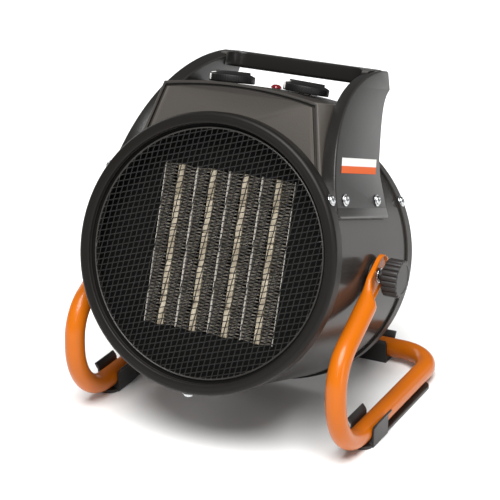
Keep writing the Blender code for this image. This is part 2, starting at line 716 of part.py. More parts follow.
def build_fan():
    middle = (FAN_FRONT + FAN_REAR) / 2
    half = (FAN_REAR - FAN_FRONT) / 2
    bore = SHAFT_RADIUS + GAP
    hub_profile = [
        (bore, half),
        (FAN_HUB_RADIUS - 0.002, half),
        (FAN_HUB_RADIUS, half - 0.002),
        (FAN_HUB_RADIUS, -half),
        (bore, -half),
    ]
    fan = add("fan_impeller", turned(hub_profile, 24, closed=True), face, (0, 0, -middle))
    blade = blade_mesh()
    for i in range(FAN_BLADES):
        turn = (0, 0, math.tau * i / FAN_BLADES)
        shape_with(fan, "UNION", blade, (0, 0, -middle), turn)
    paint(fan, (0.55, 0.56, 0.57), 0.35, 1.0)
    shaft_front = FAN_FRONT - 0.003
    shaft_rear = MOTOR_REAR - 0.002
    shaft = rod(SHAFT_RADIUS, shaft_rear - shaft_front, 14)
    zinc(add("motor_shaft", shaft, face, (0, 0, -(shaft_front + shaft_rear) / 2)))
    motor_profile = [
        (bore, -MOTOR_FRONT + 0.0025),
        (MOTOR_BEARING, -MOTOR_FRONT + 0.0025),
        (MOTOR_BEARING, -MOTOR_FRONT),
        (MOTOR_RADIUS - MOTOR_EDGE, -MOTOR_FRONT),
        (MOTOR_RADIUS, -MOTOR_FRONT - MOTOR_EDGE),
        (MOTOR_RADIUS, -MOTOR_REAR + MOTOR_EDGE),
        (MOTOR_RADIUS - MOTOR_EDGE, -MOTOR_REAR),
        (bore, -MOTOR_REAR),
    ]
    motor = add("motor_can", turned(motor_profile, 24, closed=True), face)
    paint(motor, (0.50, 0.50, 0.50), 0.35, 1.0)
    windows = []
    for i in range(4):
        angle = math.tau * i / 4
        half_in = math.pi / 4 - SPIDER_ARM_HALF / SPIDER_HUB
        half_out = math.pi / 4 - SPIDER_ARM_HALF / SPIDER_RIM
        window = arc(SPIDER_RIM, angle - half_out, angle + half_out, 7)
        windows.append(window + arc(SPIDER_HUB, angle + half_in, angle - half_in, 3))
    rim = circle(SHELL_RADIUS - SHELL_WALL - GAP, 40)
    spider = slab([rim, circle(0.0100, 16)] + windows, SPIDER_THICKNESS)
    place = (0, 0, -MOTOR_REAR - GAP - SPIDER_THICKNESS / 2)
    paint(add("motor_spider", spider, face, place), (0.50, 0.50, 0.50), 0.4, 1.0)


def arm_outline():
    """Side view of a handle arm: depth along x, height above the foot line along y."""
    points = bezier(ARM_FRONT_CURVE, 12) + [ARM_TOP_BACK]
    points += [(ARM_REAR_CURVE[0][0], ARM_TOP_BACK[1] - 0.0023)]
    points += bezier(ARM_REAR_CURVE, 6) + [ARM_NECK, (ARM_FOOT_BACK, ARM_FOOT_CUT)]
    points += [(ARM_FRONT_CURVE[0][0], ARM_FOOT_CUT)]
    return points[::-1]


def build_handle():
    rear = ARM_REAR_CURVE[0][0]
    shoulder = -GRIP_FRONT + GRIP_CORNER
    outline = [(-GRIP_HALF, -rear), (GRIP_HALF, -rear), (GRIP_HALF, shoulder)]
    outline += [(GRIP_SHOULDER_X, shoulder)]
    centre = (GRIP_SHOULDER_X - GRIP_CORNER, shoulder)
    outline += arc(GRIP_CORNER, 0.0, -math.pi / 2, 5, centre)[1:]
    outline += [(-x, y) for x, y in reversed(outline[2:])]
    height = GRIP_TOP - GRIP_BOTTOM
    grip = slab([outline], height, GRIP_ROUNDING, 2)
    handle = add("handle", grip, face, (0, GRIP_BOTTOM + height / 2, 0), FLATWAYS)
    side = arm_outline()
    shape_with(handle, "INTERSECT", slab([side], 0.2), (0, 0, 0), SIDEWAYS)
    leaned = [(depth, (up - ARM_FOOT_UP) / math.cos(ARM_LEAN)) for depth, up in side]
    arm = slab([leaned], ARM_THICKNESS, ARM_ROUNDING, 2)
    lip_radius = SHELL_RADIUS + GAP + LIP_THICKNESS
    low, high = LIP_ANGLES
    bottom = SHELL_RADIUS - 0.002
    for name, sign in (("right", 1), ("left", -1)):
        lean = bpy.data.objects.new("arm_frame_" + name, None)
        HEATER.objects.link(lean)
        lean.parent = face
        lean.location = (sign * ARM_FOOT_X, ARM_FOOT_UP, 0.0)
        lean.rotation_euler = (0.0, 0.0, sign * ARM_LEAN)
        place = (-sign * ARM_THICKNESS / 2, 0, 0)
        shape_with(handle, "UNION", arm, place, SIDEWAYS, lean)
        lip = arc(lip_radius, low, high, 3) + arc(bottom, high, low, 3)
        if sign < 0:
            lip = [(-x, y) for x, y in lip]
        start = ARM_FRONT_CURVE[0][0] + 0.0006
        depth = ARM_FOOT_BACK - 0.0010 - start
        shape_with(handle, "UNION", slab([lip], depth, 0.0008), (0, 0, -start - depth / 2))
    drum_space = rod(SHELL_RADIUS + GAP, 0.30, 72)
    shape_with(handle, "DIFFERENCE", drum_space, (0, 0, -0.06))
    for _, place, turn in handle_screw_spots():
        shape_with(handle, "DIFFERENCE", rod(SCREW_SHANK + GAP, 0.030, 10), place, turn)
    dark_plastic(handle)

    frame = bpy.data.objects["arm_frame_right"]
    label = [(0.0, 0.0), (LABEL_LENGTH, 0.0)]
    label += [(LABEL_LENGTH + LABEL_SHEAR, LABEL_HEIGHT), (LABEL_SHEAR, LABEL_HEIGHT)]
    label = [(LABEL_START + x, LABEL_LOW + y) for x, y in label]
    place = (GAP + LABEL_THICKNESS / 2, 0, 0)
    obj = add("side_label", slab([label], LABEL_THICKNESS), frame, place, SIDEWAYS)
    paint(obj, (0.85, 0.85, 0.85), 0.4)


def box_section(inset, bottom):
    """Front view of the control box: sloping sides under a crowned top."""
    half = BOX_TOP_HALF - inset * math.hypot(1.0, BOX_SLOPE)
    corner = BOX_TOP_CORNER - inset
    rise = BOX_CROWN - BOX_TOP_CORNER
    radius = (half * half + rise * rise) / (2 * rise)
    reach = math.asin(half / radius)
    centre = (0.0, corner + rise - radius)
    crown = arc(radius, math.pi / 2 - reach, math.pi / 2 + reach, 12, centre)
    foot = half + BOX_SLOPE * (corner - bottom)
    return [(-foot, bottom), (foot, bottom)] + crown


def leaned_front(mesh, front):
    """Tips the front end of a box-section mesh back so that its face leans."""
    for vertex in mesh.vertices:
        if vertex.co.z > 0:
            vertex.co.z -= BOX_FRONT_LEAN * (vertex.co.y - front)


def control_frame(name, x, depth, tilt):
    """A frame on the top panel with y along a control's spindle."""
    frame = bpy.data.objects.new(name, None)
    HEATER.objects.link(frame)
    frame.parent = face
    frame.location = (x, CONTROL_SEAT, -depth)
    frame.rotation_euler = (0.0, 0.0, tilt)
    return frame


def build_controls():
    height_of_mean = (BOX_TOP_CORNER + BOX_FRONT_FOOT) / 2
    length = BOX_REAR - BOX_FRONT
    outer = slab([box_section(0.0, BOX_BOTTOM)], length, BOX_ROUNDING, 2)
    leaned_front(outer, height_of_mean)
    box = add("control_box", outer, face, (0, 0, -(BOX_FRONT + BOX_REAR) / 2))
    inner = slab([box_section(BOX_WALL, BOX_BOTTOM - 0.01)], length - 2 * BOX_WALL)
    leaned_front(inner, height_of_mean)
    shape_with(box, "DIFFERENCE", inner, (0, 0, -(BOX_FRONT + BOX_REAR) / 2))
    shape_with(box, "DIFFERENCE", rod(SHELL_RADIUS + GAP, 0.30, 72), (0, 0, -0.06))
    dark_plastic(box)

    bore = CONTROL_SHAFT + GAP
    top = CONTROL_KNOB_HEIGHT
    knob_profile = [
        (0, top),
        (CONTROL_KNOB_RADIUS - 0.0026, top),
        (CONTROL_KNOB_RADIUS - 0.0010, top - 0.0009),
        (CONTROL_KNOB_RADIUS, 0.0010),
        (CONTROL_KNOB_RADIUS, 0),
        (bore, 0),
        (bore, top - 0.0018),
        (0, top - 0.0018),
    ]
    knob = turned(knob_profile, 30)
    neck = [(0, 0.0053), (CONTROL_SHAFT, 0.0053), (CONTROL_SHAFT, 0.0008), (0.0044, 0.0008)]
    neck += [(0.0044, -0.0060), (0, -0.0060)]
    for name, part_name, side in (("selector", "switch", -1), ("thermostat", "body", 1)):
        tilt = -side * CONTROL_TILT
        frame = control_frame(name + "_frame", side * CONTROL_X, CONTROL_DEPTH, tilt)
        obj = add(name + "_knob", knob, frame, (0, CONTROL_KNOB_LIFT, 0), UPWAYS)
        paint(obj, (0.015, 0.015, 0.016), 0.4)
        shape_with(box, "DIFFERENCE", rod(0.0048, 0.02), (0, 0, 0), UPWAYS, frame)
        if side < 0:
            case = slab([box_outline(0.0220, 0.0240)], 0.0150, 0.0006)
        else:
            case = rod(0.0125, 0.0150, 20)
        body = add(name + "_" + part_name, case, frame, (0, -0.0125, 0), UPWAYS)
        shape_with(body, "UNION", turned(neck, 14), (0, 0, 0), UPWAYS)
        paint(body, (0.55, 0.53, 0.48), 0.5)

    lamp = control_frame("lamp_frame", 0.0, LAMP_DEPTH, 0.0)
    lift = BOX_CROWN + GAP - CONTROL_SEAT
    lens_profile = [(0, 0.0028), (0.0020, 0.0025), (0.0034, 0.0015), (LAMP_RADIUS, 0)]
    lens_profile += [(0.0034, 0), (0.0034, -0.0070), (0, -0.0070)]
    lens = add("lamp_lens", turned(lens_profile, 16), lamp, (0, lift, 0), UPWAYS)
    paint(lens, (0.60, 0.02, 0.02), 0.15)
    shape_with(box, "DIFFERENCE", rod(0.0038, 0.02), (0, 0, 0), UPWAYS, lamp)
    socket = [(0, -0.0076), (0.0037, -0.0076), (0.0037, -0.0032), (0.0056, -0.0032)]
    socket += [(0.0056, -0.0130), (0, -0.0130)]
    obj = add("lamp_socket", turned(socket, 14), lamp, (0, lift, 0), UPWAYS)
    paint(obj, (0.70, 0.70, 0.68), 0.5)

    place = (INLET_X, INLET_UP, -BOX_REAR)
    grommet_profile = [(0.0036, 0.0023), (0.0064, 0.0023), (0.0076, 0.0014), (0.0076, GAP)]
    grommet_profile += [(INLET_RADIUS, GAP), (INLET_RADIUS, -0.0045), (0.0036, -0.0045)]
    grommet = turned(grommet_profile, 16, closed=True)
    paint(add("cord_grommet", grommet, face, place, BACKWARDS), (0.02, 0.02, 0.02), 0.7)
    shape_with(box, "DIFFERENCE", rod(INLET_RADIUS + GAP, 0.02), place)


def build_screws():
    profile = [
        (0, SCREW_HEIGHT),
        (SCREW_HEAD * 0.55, SCREW_HEIGHT * 0.92),
        (SCREW_HEAD, SCREW_HEIGHT * 0.45),
        (SCREW_HEAD, 0.0007),
        (SCREW_FLANGE, 0.0006),
        (SCREW_FLANGE, 0),
        (SCREW_SHANK, 0),
        (SCREW_SHANK, -SCREW_LENGTH),
        (0, -SCREW_LENGTH),
    ]
    screw = turned(profile, 10)
    spots = [("handle_screw_" + name, place, turn) for name, place, turn in handle_screw_spots()]
    for number, angle in enumerate(SCREW_ANGLES, 1):
        front = radial(RING_RADIUS, angle, FRONT_SCREW_DEPTH)
        rear = radial(REAR_RING_RADIUS, angle, REAR_SCREW_DEPTH)
        spots.append(("front_screw_" + str(number), *front))
        spots.append(("rear_screw_" + str(number), *rear))
    for name, place, turn in spots:
        side = math.copysign(1.0, turn[1])
        outward = Vector((side * math.cos(turn[2]), side * math.sin(turn[2]), 0))
        zinc(add(name, screw, face, Vector(place) + outward * GAP, turn))


def build_clamps():
    outline = []
    for i in range(KNOB_FLUTES * 4):
        angle = math.tau * i / (KNOB_FLUTES * 4)
        radius = KNOB_RADIUS - KNOB_FLUTE_DEPTH * (0.5 + 0.5 * math.cos(KNOB_FLUTES * angle))
        outline.append((radius * math.cos(angle), radius * math.sin(angle)))
    head = slab([outline], KNOB_THICKNESS, 0.0007)
    for vertex in head.vertices:
        vertex.co.z += KNOB_THICKNESS / 2
    washer_x = PLATE_X + PLATE_HALF_THICKNESS - PLATE_DISH + GAP
    neck_end = washer_x + WASHER_THICKNESS + GAP - KNOB_INNER_X
    stud_end = STUD_INNER_X - KNOB_INNER_X
    stud = [(0, 0.001), (NECK_RADIUS, 0.001), (NECK_RADIUS, neck_end), (STUD_RADIUS, neck_end)]
    stud += [(STUD_RADIUS, stud_end), (0, stud_end)]
    stem = turned(stud, 14)
    spacer_x = SHELL_RADIUS + GAP
    spacer_thickness = PLATE_X - PLATE_HALF_THICKNESS - GAP - spacer_x
    washers = {
        "clamp_washer": (WASHER_RADIUS, WASHER_THICKNESS, washer_x, zinc),
        "friction_spacer": (SPACER_RADIUS, spacer_thickness, spacer_x, dark_plastic),
    }
    for side, end in ((-1, "_left"), (1, "_right")):
        turn = (0.0, side * math.pi / 2, 0.0)
        lifted = Vector((side, 0, 0))
        knob = add("clamp_knob" + end, head, drum, lifted * KNOB_INNER_X, turn)
        shape_with(knob, "UNION", stem, lifted * KNOB_INNER_X, turn)
        paint(knob, (0.025, 0.024, 0.024), 0.5)
        for name, (radius, thickness, x, finish) in washers.items():
            ring = [(radius, thickness), (radius, 0), (BORE_RADIUS, 0), (BORE_RADIUS, thickness)]
            finish(add(name + end, turned(ring, 16, closed=True), drum, lifted * x, turn))
        nut = slab([circle(NUT_RADIUS, 6), circle(STUD_RADIUS + GAP, 12)], NUT_THICKNESS)
        x = SHELL_RADIUS - SHELL_WALL - 2 * GAP - NUT_THICKNESS / 2
        zinc(add("pivot_nut" + end, nut, drum, lifted * x, turn))


build_stand()
build_drum()
build_heating_block()
build_fan()
build_handle()
build_controls()
build_screws()
build_clamps()
bpy.context.view_layer.update()
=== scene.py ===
"""Looks of the round ceramic space heater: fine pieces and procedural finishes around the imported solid."""

import json
import math

import bmesh
import bpy
from mathutils import Matrix, Vector


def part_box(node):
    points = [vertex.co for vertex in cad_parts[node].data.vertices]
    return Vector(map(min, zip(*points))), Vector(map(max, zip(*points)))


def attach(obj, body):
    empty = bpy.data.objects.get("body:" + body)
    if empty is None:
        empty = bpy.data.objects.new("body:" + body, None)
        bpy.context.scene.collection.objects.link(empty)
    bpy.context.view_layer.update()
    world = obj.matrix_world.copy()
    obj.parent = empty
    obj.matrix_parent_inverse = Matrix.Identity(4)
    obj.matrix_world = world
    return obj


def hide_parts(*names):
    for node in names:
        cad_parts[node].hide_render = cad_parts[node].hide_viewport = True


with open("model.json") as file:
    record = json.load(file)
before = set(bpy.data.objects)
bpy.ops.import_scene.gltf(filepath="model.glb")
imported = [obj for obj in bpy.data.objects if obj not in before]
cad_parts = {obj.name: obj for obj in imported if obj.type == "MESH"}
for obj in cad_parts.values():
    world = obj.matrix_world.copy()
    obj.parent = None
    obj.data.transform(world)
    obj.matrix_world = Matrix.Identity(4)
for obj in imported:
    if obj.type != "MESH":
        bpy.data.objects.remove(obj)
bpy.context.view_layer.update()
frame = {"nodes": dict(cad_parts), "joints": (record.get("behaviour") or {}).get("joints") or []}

# ---------- places taken from the frame
JOINTS = {joint["name"]: joint for joint in frame["joints"]}
PIVOT = Vector(JOINTS["drum_tilt"]["pos_m"])
FORWARD = Vector(JOINTS["fan_spin"]["axis"]).normalized()
TILT = math.asin(FORWARD.z)
DRUM = Matrix.Translation(PIVOT) @ Matrix.Rotation(-TILT, 4, "X")
QUARTER = math.pi / 2
SIDEWAYS = Matrix.Rotation(QUARTER, 4, "Y")
FLATWAYS = Matrix.Rotation(QUARTER, 4, "X")
UPWAYS = Matrix.Rotation(-QUARTER, 4, "X")


def at(x=0.0, y=0.0, z=0.0):
    """A move by these metres."""
    return Matrix.Translation((x, y, z))


def extent(node, matrix):
    """Lowest and highest corner of a node, measured along the axes of another frame."""
    points = [matrix.inverted() @ vertex.co for vertex in frame["nodes"][node].data.vertices]
    low = Vector([min(point[k] for point in points) for k in range(3)])
    high = Vector([max(point[k] for point in points) for k in range(3)])
    return low, high


def outer_radius(node, matrix):
    """Largest distance of a node's points from the Z axis of another frame."""
    inverse = matrix.inverted()
    return max((inverse @ vertex.co).xy.length for vertex in frame["nodes"][node].data.vertices)


# In the face frame x is right, y is up in the drum's face and z points out of its front.
RING_FRONT = extent("front_ring", DRUM)[0].y
FACE = DRUM @ at(y=RING_FRONT) @ FLATWAYS
RING_RADIUS = outer_radius("front_ring", FACE)
SHELL_RADIUS = outer_radius("drum_shell", FACE)
REAR_RING_RADIUS = outer_radius("rear_ring", FACE)
PIVOT_DEPTH = -RING_FRONT
GAP = 0.0003
# One bore suits the 3 mm radius of the clamp studs and of the panel spindles.
BORE_RADIUS = 0.0033


# ---------- mesh tools
def arc(radius, start, end, steps, centre=(0.0, 0.0)):
    """Points along an arc, ends included; angles in radians."""
    angles = [start + (end - start) * i / steps for i in range(steps + 1)]
    return [(centre[0] + radius * math.cos(a), centre[1] + radius * math.sin(a)) for a in angles]


def circle(radius, steps, centre=(0.0, 0.0)):
    return arc(radius, 0.0, math.tau, steps, centre)[:-1]


def rectangle(width, height, centre=(0.0, 0.0)):
    x, y = centre
    w, h = width / 2, height / 2
    return [(x - w, y - h), (x + w, y - h), (x + w, y + h), (x - w, y + h)]


def bezier(points, steps):
    """Points along a cubic curve, ends included."""
    found = []
    for i in range(steps + 1):
        t = i / steps
        weights = ((1 - t) ** 3, 3 * t * (1 - t) ** 2, 3 * t * t * (1 - t), t**3)
        found.append(tuple(sum(w * p[k] for w, p in zip(weights, points)) for k in range(2)))
    return found


def smooth(mesh, degrees=35.0):
    mesh.shade_smooth()
    mesh.set_sharp_from_angle(angle=math.radians(degrees))
    return mesh


def baked(obj, degrees=35.0):
    """The object's evaluated shape as a plain welded mesh; the object itself goes."""
    graph = bpy.context.evaluated_depsgraph_get()
    mesh = bpy.data.meshes.new_from_object(obj.evaluated_get(graph))
    bpy.data.objects.remove(obj, do_unlink=True)
    shape = bmesh.new()
    shape.from_mesh(mesh)
    bmesh.ops.remove_doubles(shape, verts=shape.verts, dist=1e-6)
    bmesh.ops.recalc_face_normals(shape, faces=shape.faces)
    shape.to_mesh(mesh)
    shape.free()
    return smooth(mesh, degrees)


def placed(name, data, matrix=None):
    """A new object in the scene with this place."""
    obj = bpy.data.objects.new(name, data)
    bpy.context.scene.collection.objects.link(obj)
    obj.matrix_world = matrix or Matrix()
    return obj


def workpiece(data, matrix=None):
    """A passing object that only carries modifiers until it is baked."""
    return placed("workpiece", data, matrix)


def turned(profile, steps=128, closed=False):
    """A mesh turned round Z from (radius, height) points that run down the outer side."""
    mesh = bpy.data.meshes.new("turned")
    count = len(profile)
    edges = [(i, (i + 1) % count) for i in range(count if closed else count - 1)]
    mesh.from_pydata([(radius, 0.0, height) for radius, height in profile], edges, [])
    obj = workpiece(mesh)
    screw = obj.modifiers.new("Turn", "SCREW")
    screw.axis = "Z"
    screw.angle = math.tau
    screw.steps = steps
    screw.render_steps = steps
    screw.use_merge_vertices = True
    screw.merge_threshold = 1e-5
    return baked(obj)


def slab(outlines, depth, rounding=0.0, segments=3):
    """A flat mesh of this depth, centred on z = 0, from an outline and any holes in it."""
    curve = bpy.data.curves.new("outline", "CURVE")
    curve.dimensions = "2D"
    curve.fill_mode = "BOTH"
    for outline in outlines:
        spline = curve.splines.new("POLY")
        spline.points.add(len(outline) - 1)
        spline.use_cyclic_u = True
        for point, (x, y) in zip(spline.points, outline):
            point.co = (x, y, 0.0, 1.0)
    curve.extrude = depth / 2 - rounding
    curve.bevel_depth = rounding
    curve.bevel_resolution = segments - 1
    curve.offset = -rounding
    return baked(workpiece(curve))


def combined(mesh, operation, others):
    """The mesh after a Boolean with each (mesh, matrix) of the others in turn."""
    obj = workpiece(mesh)
    tools = []
    for other, matrix in others:
        tool = workpiece(other, matrix)
        tools.append(tool)
        modifier = obj.modifiers.new("shape", "BOOLEAN")
        modifier.operation = operation
        modifier.solver = "EXACT"
        modifier.object = tool
    bpy.context.view_layer.update()
    made = baked(obj)
    for tool in tools:
        bpy.data.objects.remove(tool, do_unlink=True)
    return made


def edged(mesh, width, segments=3, degrees=40.0):
    """The mesh with its sharp edges rounded."""
    obj = workpiece(mesh)
    bevel = obj.modifiers.new("Edges", "BEVEL")
    bevel.width = width
    bevel.segments = segments
    bevel.limit_method = "ANGLE"
    bevel.angle_limit = math.radians(degrees)
    bevel.harden_normals = True
    return baked(obj, 60.0)


def meshed(shape):
    """The working mesh as a stored one, with its faces turned outwards."""
    bmesh.ops.recalc_face_normals(shape, faces=shape.faces)
    mesh = bpy.data.meshes.new("meshed")
    shape.to_mesh(mesh)
    shape.free()
    return mesh


def loft(rings, degrees=60.0):
    """A closed mesh through rings of equal point count, with flat ends."""
    shape = bmesh.new()
    made = [[shape.verts.new(point) for point in ring] for ring in rings]
    count = len(made[0])
    for near, far in zip(made, made[1:]):
        for i in range(count):
            j = (i + 1) % count
            shape.faces.new((near[i], near[j], far[j], far[i]))
    shape.faces.new(made[0][::-1])
    shape.faces.new(made[-1])
    return smooth(meshed(shape), degrees)


def joined(parts):
    """One mesh from several (mesh, matrix) pairs, without any Boolean."""
    shape = bmesh.new()
    for mesh, matrix in parts:
        piece = mesh.copy()
        piece.transform(matrix)
        shape.from_mesh(piece)
        bpy.data.meshes.remove(piece)
    made = bpy.data.meshes.new("joined")
    shape.to_mesh(made)
    shape.free()
    return smooth(made)


def rod(radius, length, steps=48):
    """A cylinder along Z, centred on the origin."""
    half = length / 2
    return turned([(0.0, half), (radius, half), (radius, -half), (0.0, -half)], steps)


def mirrored(mesh):
    """The mesh turned into its mirror image across x = 0, with its faces still outwards."""
    mesh.transform(Matrix.Scale(-1.0, 4, (1.0, 0.0, 0.0)))
    mesh.flip_normals()
    return mesh


def drum_space():
    """A cutter as wide as the drum, with its place in the face frame."""
    return rod(SHELL_RADIUS + GAP, 0.30, 180), at(z=-0.06)


def settled(mesh, matrix):
    """The mesh with its place in the world written into its points."""
    mesh.transform(matrix)
    return mesh


def piece(name, mesh, matrix, body, material, nodes=(), slot=None):
    """A finished piece that rides on a body and stands for the given nodes."""
    obj = placed(name, mesh, matrix)
    if not mesh.materials:
        mesh.materials.append(None)
    obj.material_slots[0].link = "OBJECT"
    obj.material_slots[0].material = material
    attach(obj, body)
    if nodes:
        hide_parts(*nodes)
    return obj


def drum_piece(name, mesh, material, node, slot):
    """A piece drawn in the face frame and written into the world, so that its box measures true."""
    return piece(name, settled(mesh, FACE), Matrix(), "drum", material, [node], slot)


def dress(node, material):
    """Gives a node of the frame its finish."""
    obj = frame["nodes"][node]
    if not obj.material_slots:
        obj.data.materials.append(None)
    for slot in obj.material_slots:
        slot.link = "OBJECT"
        slot.material = material


# ---------- material tools
def linear(hex_color):
    """An sRGB hex colour such as #3a3836 as linear values with alpha."""
    found = []
    for i in (1, 3, 5):
        value = int(hex_color[i : i + 2], 16) / 255
        found.append(value / 12.92 if value <= 0.04045 else ((value + 0.055) / 1.055) ** 2.4)
    return (*found, 1.0)


def add(tree, kind, inputs=None, stops=(), **settings):
    """Adds a shader node with its settings, its colour stops and its inputs, given as values or links."""
    made = tree.nodes.new("ShaderNode" + kind)
    for name, value in settings.items():
        setattr(made, name, value)
    for number, (position, color) in enumerate(stops):
        made.color_ramp.elements[number].position = position
        made.color_ramp.elements[number].color = linear(color)
    for name, value in (inputs or {}).items():
        if isinstance(value, bpy.types.NodeSocket):
            tree.links.new(value, made.inputs[name])
        else:
            made.inputs[name].default_value = linear(value) if isinstance(value, str) else value
    return made


def start(name, **values):
    """A new material: its tree, its Principled shader and its object coordinates."""
    material = bpy.data.materials.new(name)
    material.use_nodes = True
    tree = material.node_tree
    shader = tree.nodes["Principled BSDF"]
    for key, value in values.items():
        shader.inputs[key.replace("_", " ").title().replace("Ior", "IOR")].default_value = value
    place = add(tree, "TexCoord").outputs["Object"]
    return material, tree, shader, place


def sized(place, millimetres, **more):
    """Texture inputs that give features of this size."""
    return {"Vector": place, "Scale": 1000.0 / millimetres, **more}


def surface(tree, shader, color, gloss=None, rough=None, relief=None, strength=0.0, distance=0.0001):
    """Joins the colour, a gloss that drifts between two roughnesses and a fine relief to the shader."""
    tree.links.new(color, shader.inputs["Base Color"])
    if gloss:
        span = {"Value": gloss, "To Min": rough[0], "To Max": rough[1]}
        drift = add(tree, "MapRange", span)
        tree.links.new(drift.outputs[0], shader.inputs["Roughness"])
    if relief:
        skin = add(tree, "Bump", {"Height": relief, "Strength": strength, "Distance": distance})
        tree.links.new(skin.outputs["Normal"], shader.inputs["Normal"])


def paint_edge_highlight(tree, color, highlight_tint, highlight_span):
    """The colour, painted paler on raised edges as a highlight; the last argument gives where that painted
    highlight starts, where it peaks and its strength.
    """
    # Painted highlight: pointiness picks out raised edges and mixes them towards the paler colour.
    edge = add(tree, "NewGeometry").outputs["Pointiness"]
    span = {"Value": edge, "From Min": highlight_span[0], "From Max": highlight_span[1], "To Max": highlight_span[2]}
    highlight_share = add(tree, "MapRange", span)
    sides = {"Factor": highlight_share.outputs[0], "A": color, "B": highlight_tint}
    return add(tree, "Mix", sides, data_type="RGBA").outputs["Result"]


def powder_coat(name, color, highlight_tint, rough, peel_mm, peel, **values):
    """Thermoset powder baked on steel: a slightly rippled skin, with a painted highlight along its edges as a
    paler line.
    """
    material, tree, shader, place = start(name, **values)
    # Ripple of the flowed powder, drawn coarser than the real 0.8 mm so that it shows.
    ripple = add(tree, "TexNoise", sized(place, peel_mm, Detail=2.0))
    # Slow changes of gloss, as handling and dust leave on a flat coat.
    patch = add(tree, "TexNoise", sized(place, 45.0, Detail=3.0))
    tint = paint_edge_highlight(tree, color, highlight_tint, (0.53, 0.62, 0.55))
    span = (rough - 0.05, rough + 0.07)
    surface(tree, shader, tint, patch.outputs["Fac"], span, ripple.outputs["Fac"], peel, 0.0002)
    return material


def moulded(name, color, highlight_tint, rough, grain_mm, grain, **values):
    """Injection moulded plastic: a fine spark-eroded grain, with a painted highlight on its edges as a paler
    colour.
    """
    material, tree, shader, place = start(name, **values)
    cells = add(tree, "TexVoronoi", sized(place, grain_mm))
    cloud = add(tree, "TexNoise", sized(place, 30.0, Detail=4.0))
    tint = paint_edge_highlight(tree, color, highlight_tint, (0.52, 0.60, 0.7))
    span = (rough - 0.06, rough + 0.06)
    surface(tree, shader, tint, cloud.outputs["Fac"], span, cells.outputs["Distance"], grain, 0.0002)
    return material


def plated_steel(name, color, rough):
    """Bright zinc over cold-formed steel: cloudy plating that is duller and rougher in patches."""
    material, tree, shader, place = start(name, metallic=1.0)
    cloud = add(tree, "TexNoise", sized(place, 2.0, Detail=4.0))
    cloudy = cloud.outputs["Fac"]
    tint = add(tree, "ValToRGB", {"Fac": cloudy}, ((0.0, "#8f9294"), (1.0, color))).outputs["Color"]
    surface(tree, shader, tint, cloudy, (rough, rough + 0.16), cloudy, 0.15)
    return material


def rolled_aluminium(front):
    """Thin mill-finish foil for the folded fins: pale at its front edges, and darkened towards near-black
    deeper inside the block as painted shade.
    """
    material, tree, shader, place = start("rolled_aluminium_foil", metallic=1.0)
    stretched = add(tree, "Mapping", {"Vector": place, "Scale": (1.0, 1.0, 0.1)})
    lines = add(tree, "TexNoise", sized(stretched.outputs["Vector"], 0.6, Detail=3.0)).outputs["Fac"]
    stain = add(tree, "TexNoise", sized(place, 9.0, Detail=4.0))
    greys = ((0.3, "#857d72"), (0.7, "#bab3a7"))
    tint = add(tree, "ValToRGB", {"Fac": stain.outputs["Fac"]}, greys).outputs["Color"]
    depth = add(tree, "SeparateXYZ", {"Vector": place})
    # Painted shade: behind the block's front the foil fades to near-black #1c1916, fully so from 1 mm deep.
    reach = {"Value": depth.outputs["Z"], "From Min": front - FOIL_FULL_SHADE_DEPTH, "From Max": front - FOIL_NO_SHADE_DEPTH}
    unshaded_share = add(tree, "MapRange", reach)
    painted_shade_mix = add(tree, "Mix", {"Factor": unshaded_share.outputs[0], "A": "#1c1916", "B": tint}, data_type="RGBA")
    surface(tree, shader, painted_shade_mix.outputs["Result"], lines, (0.45, 0.65), lines, 0.2)
    return material


def heating_stone():
    """Pressed barium titanate stones in a tan insulating film: matt, blotched and faintly gritty."""
    material, tree, shader, place = start("insulated_heating_stone", roughness=0.55)
    blotch = add(tree, "TexNoise", sized(place, 7.0, Detail=5.0))
    tans = ((0.32, "#8d816c"), (0.62, "#b9ae99"))
    tint = add(tree, "ValToRGB", {"Fac": blotch.outputs["Fac"]}, tans).outputs["Color"]
    grit = add(tree, "TexNoise", sized(place, 0.8, Detail=2.0))
    surface(tree, shader, tint, relief=grit.outputs["Fac"], strength=0.3)
    return material


def coated_wire(rim):
    """Black dipped steel wire: a soft gloss, with slightly paler specks where the mesh is cut at its rim."""
    material, tree, shader, place = start("dipped_steel_wire")
    flat = add(tree, "VectorMath", {0: place, 1: (1.0, 1.0, 0.0)}, operation="MULTIPLY")
    reach = add(tree, "VectorMath", {0: flat.outputs["Vector"]}, operation="LENGTH")
    cut = add(tree, "Math", {0: reach.outputs["Value"], 1: rim}, operation="GREATER_THAN")
    speck = add(tree, "TexNoise", sized(place, 3.0))
    some = add(tree, "Math", {0: speck.outputs["Fac"], 1: 0.40}, operation="GREATER_THAN")
    bare = add(tree, "Math", {0: cut.outputs[0], 1: some.outputs[0]}, operation="MULTIPLY")
    tint = add(tree, "Mix", {"Factor": bare.outputs[0], "A": "#151413", "B": "#302d2a"}, data_type="RGBA")
    drips = add(tree, "TexNoise", sized(place, 2.5, Detail=2.0))
    surface(tree, shader, tint.outputs["Result"], drips.outputs["Fac"], (0.30, 0.50))
    return material


def printed_film(band_y):
    """Printed polyester film: a white band over an orange one, matt, with the faint dots of the print."""
    material, tree, shader, place = start("printed_polyester_film", roughness=0.55, specular_ior_level=0.2)
    split = add(tree, "SeparateXYZ", {"Vector": place})
    upper = add(tree, "Math", {0: split.outputs["Y"], 1: band_y}, operation="GREATER_THAN")
    tint = add(tree, "Mix", {"Factor": upper.outputs[0], "A": "#c9530c", "B": "#dddbd8"}, data_type="RGBA")
    dots = add(tree, "TexVoronoi", sized(place, 0.5))
    surface(tree, shader, tint.outputs["Result"], relief=dots.outputs["Distance"], strength=0.05)
    return material


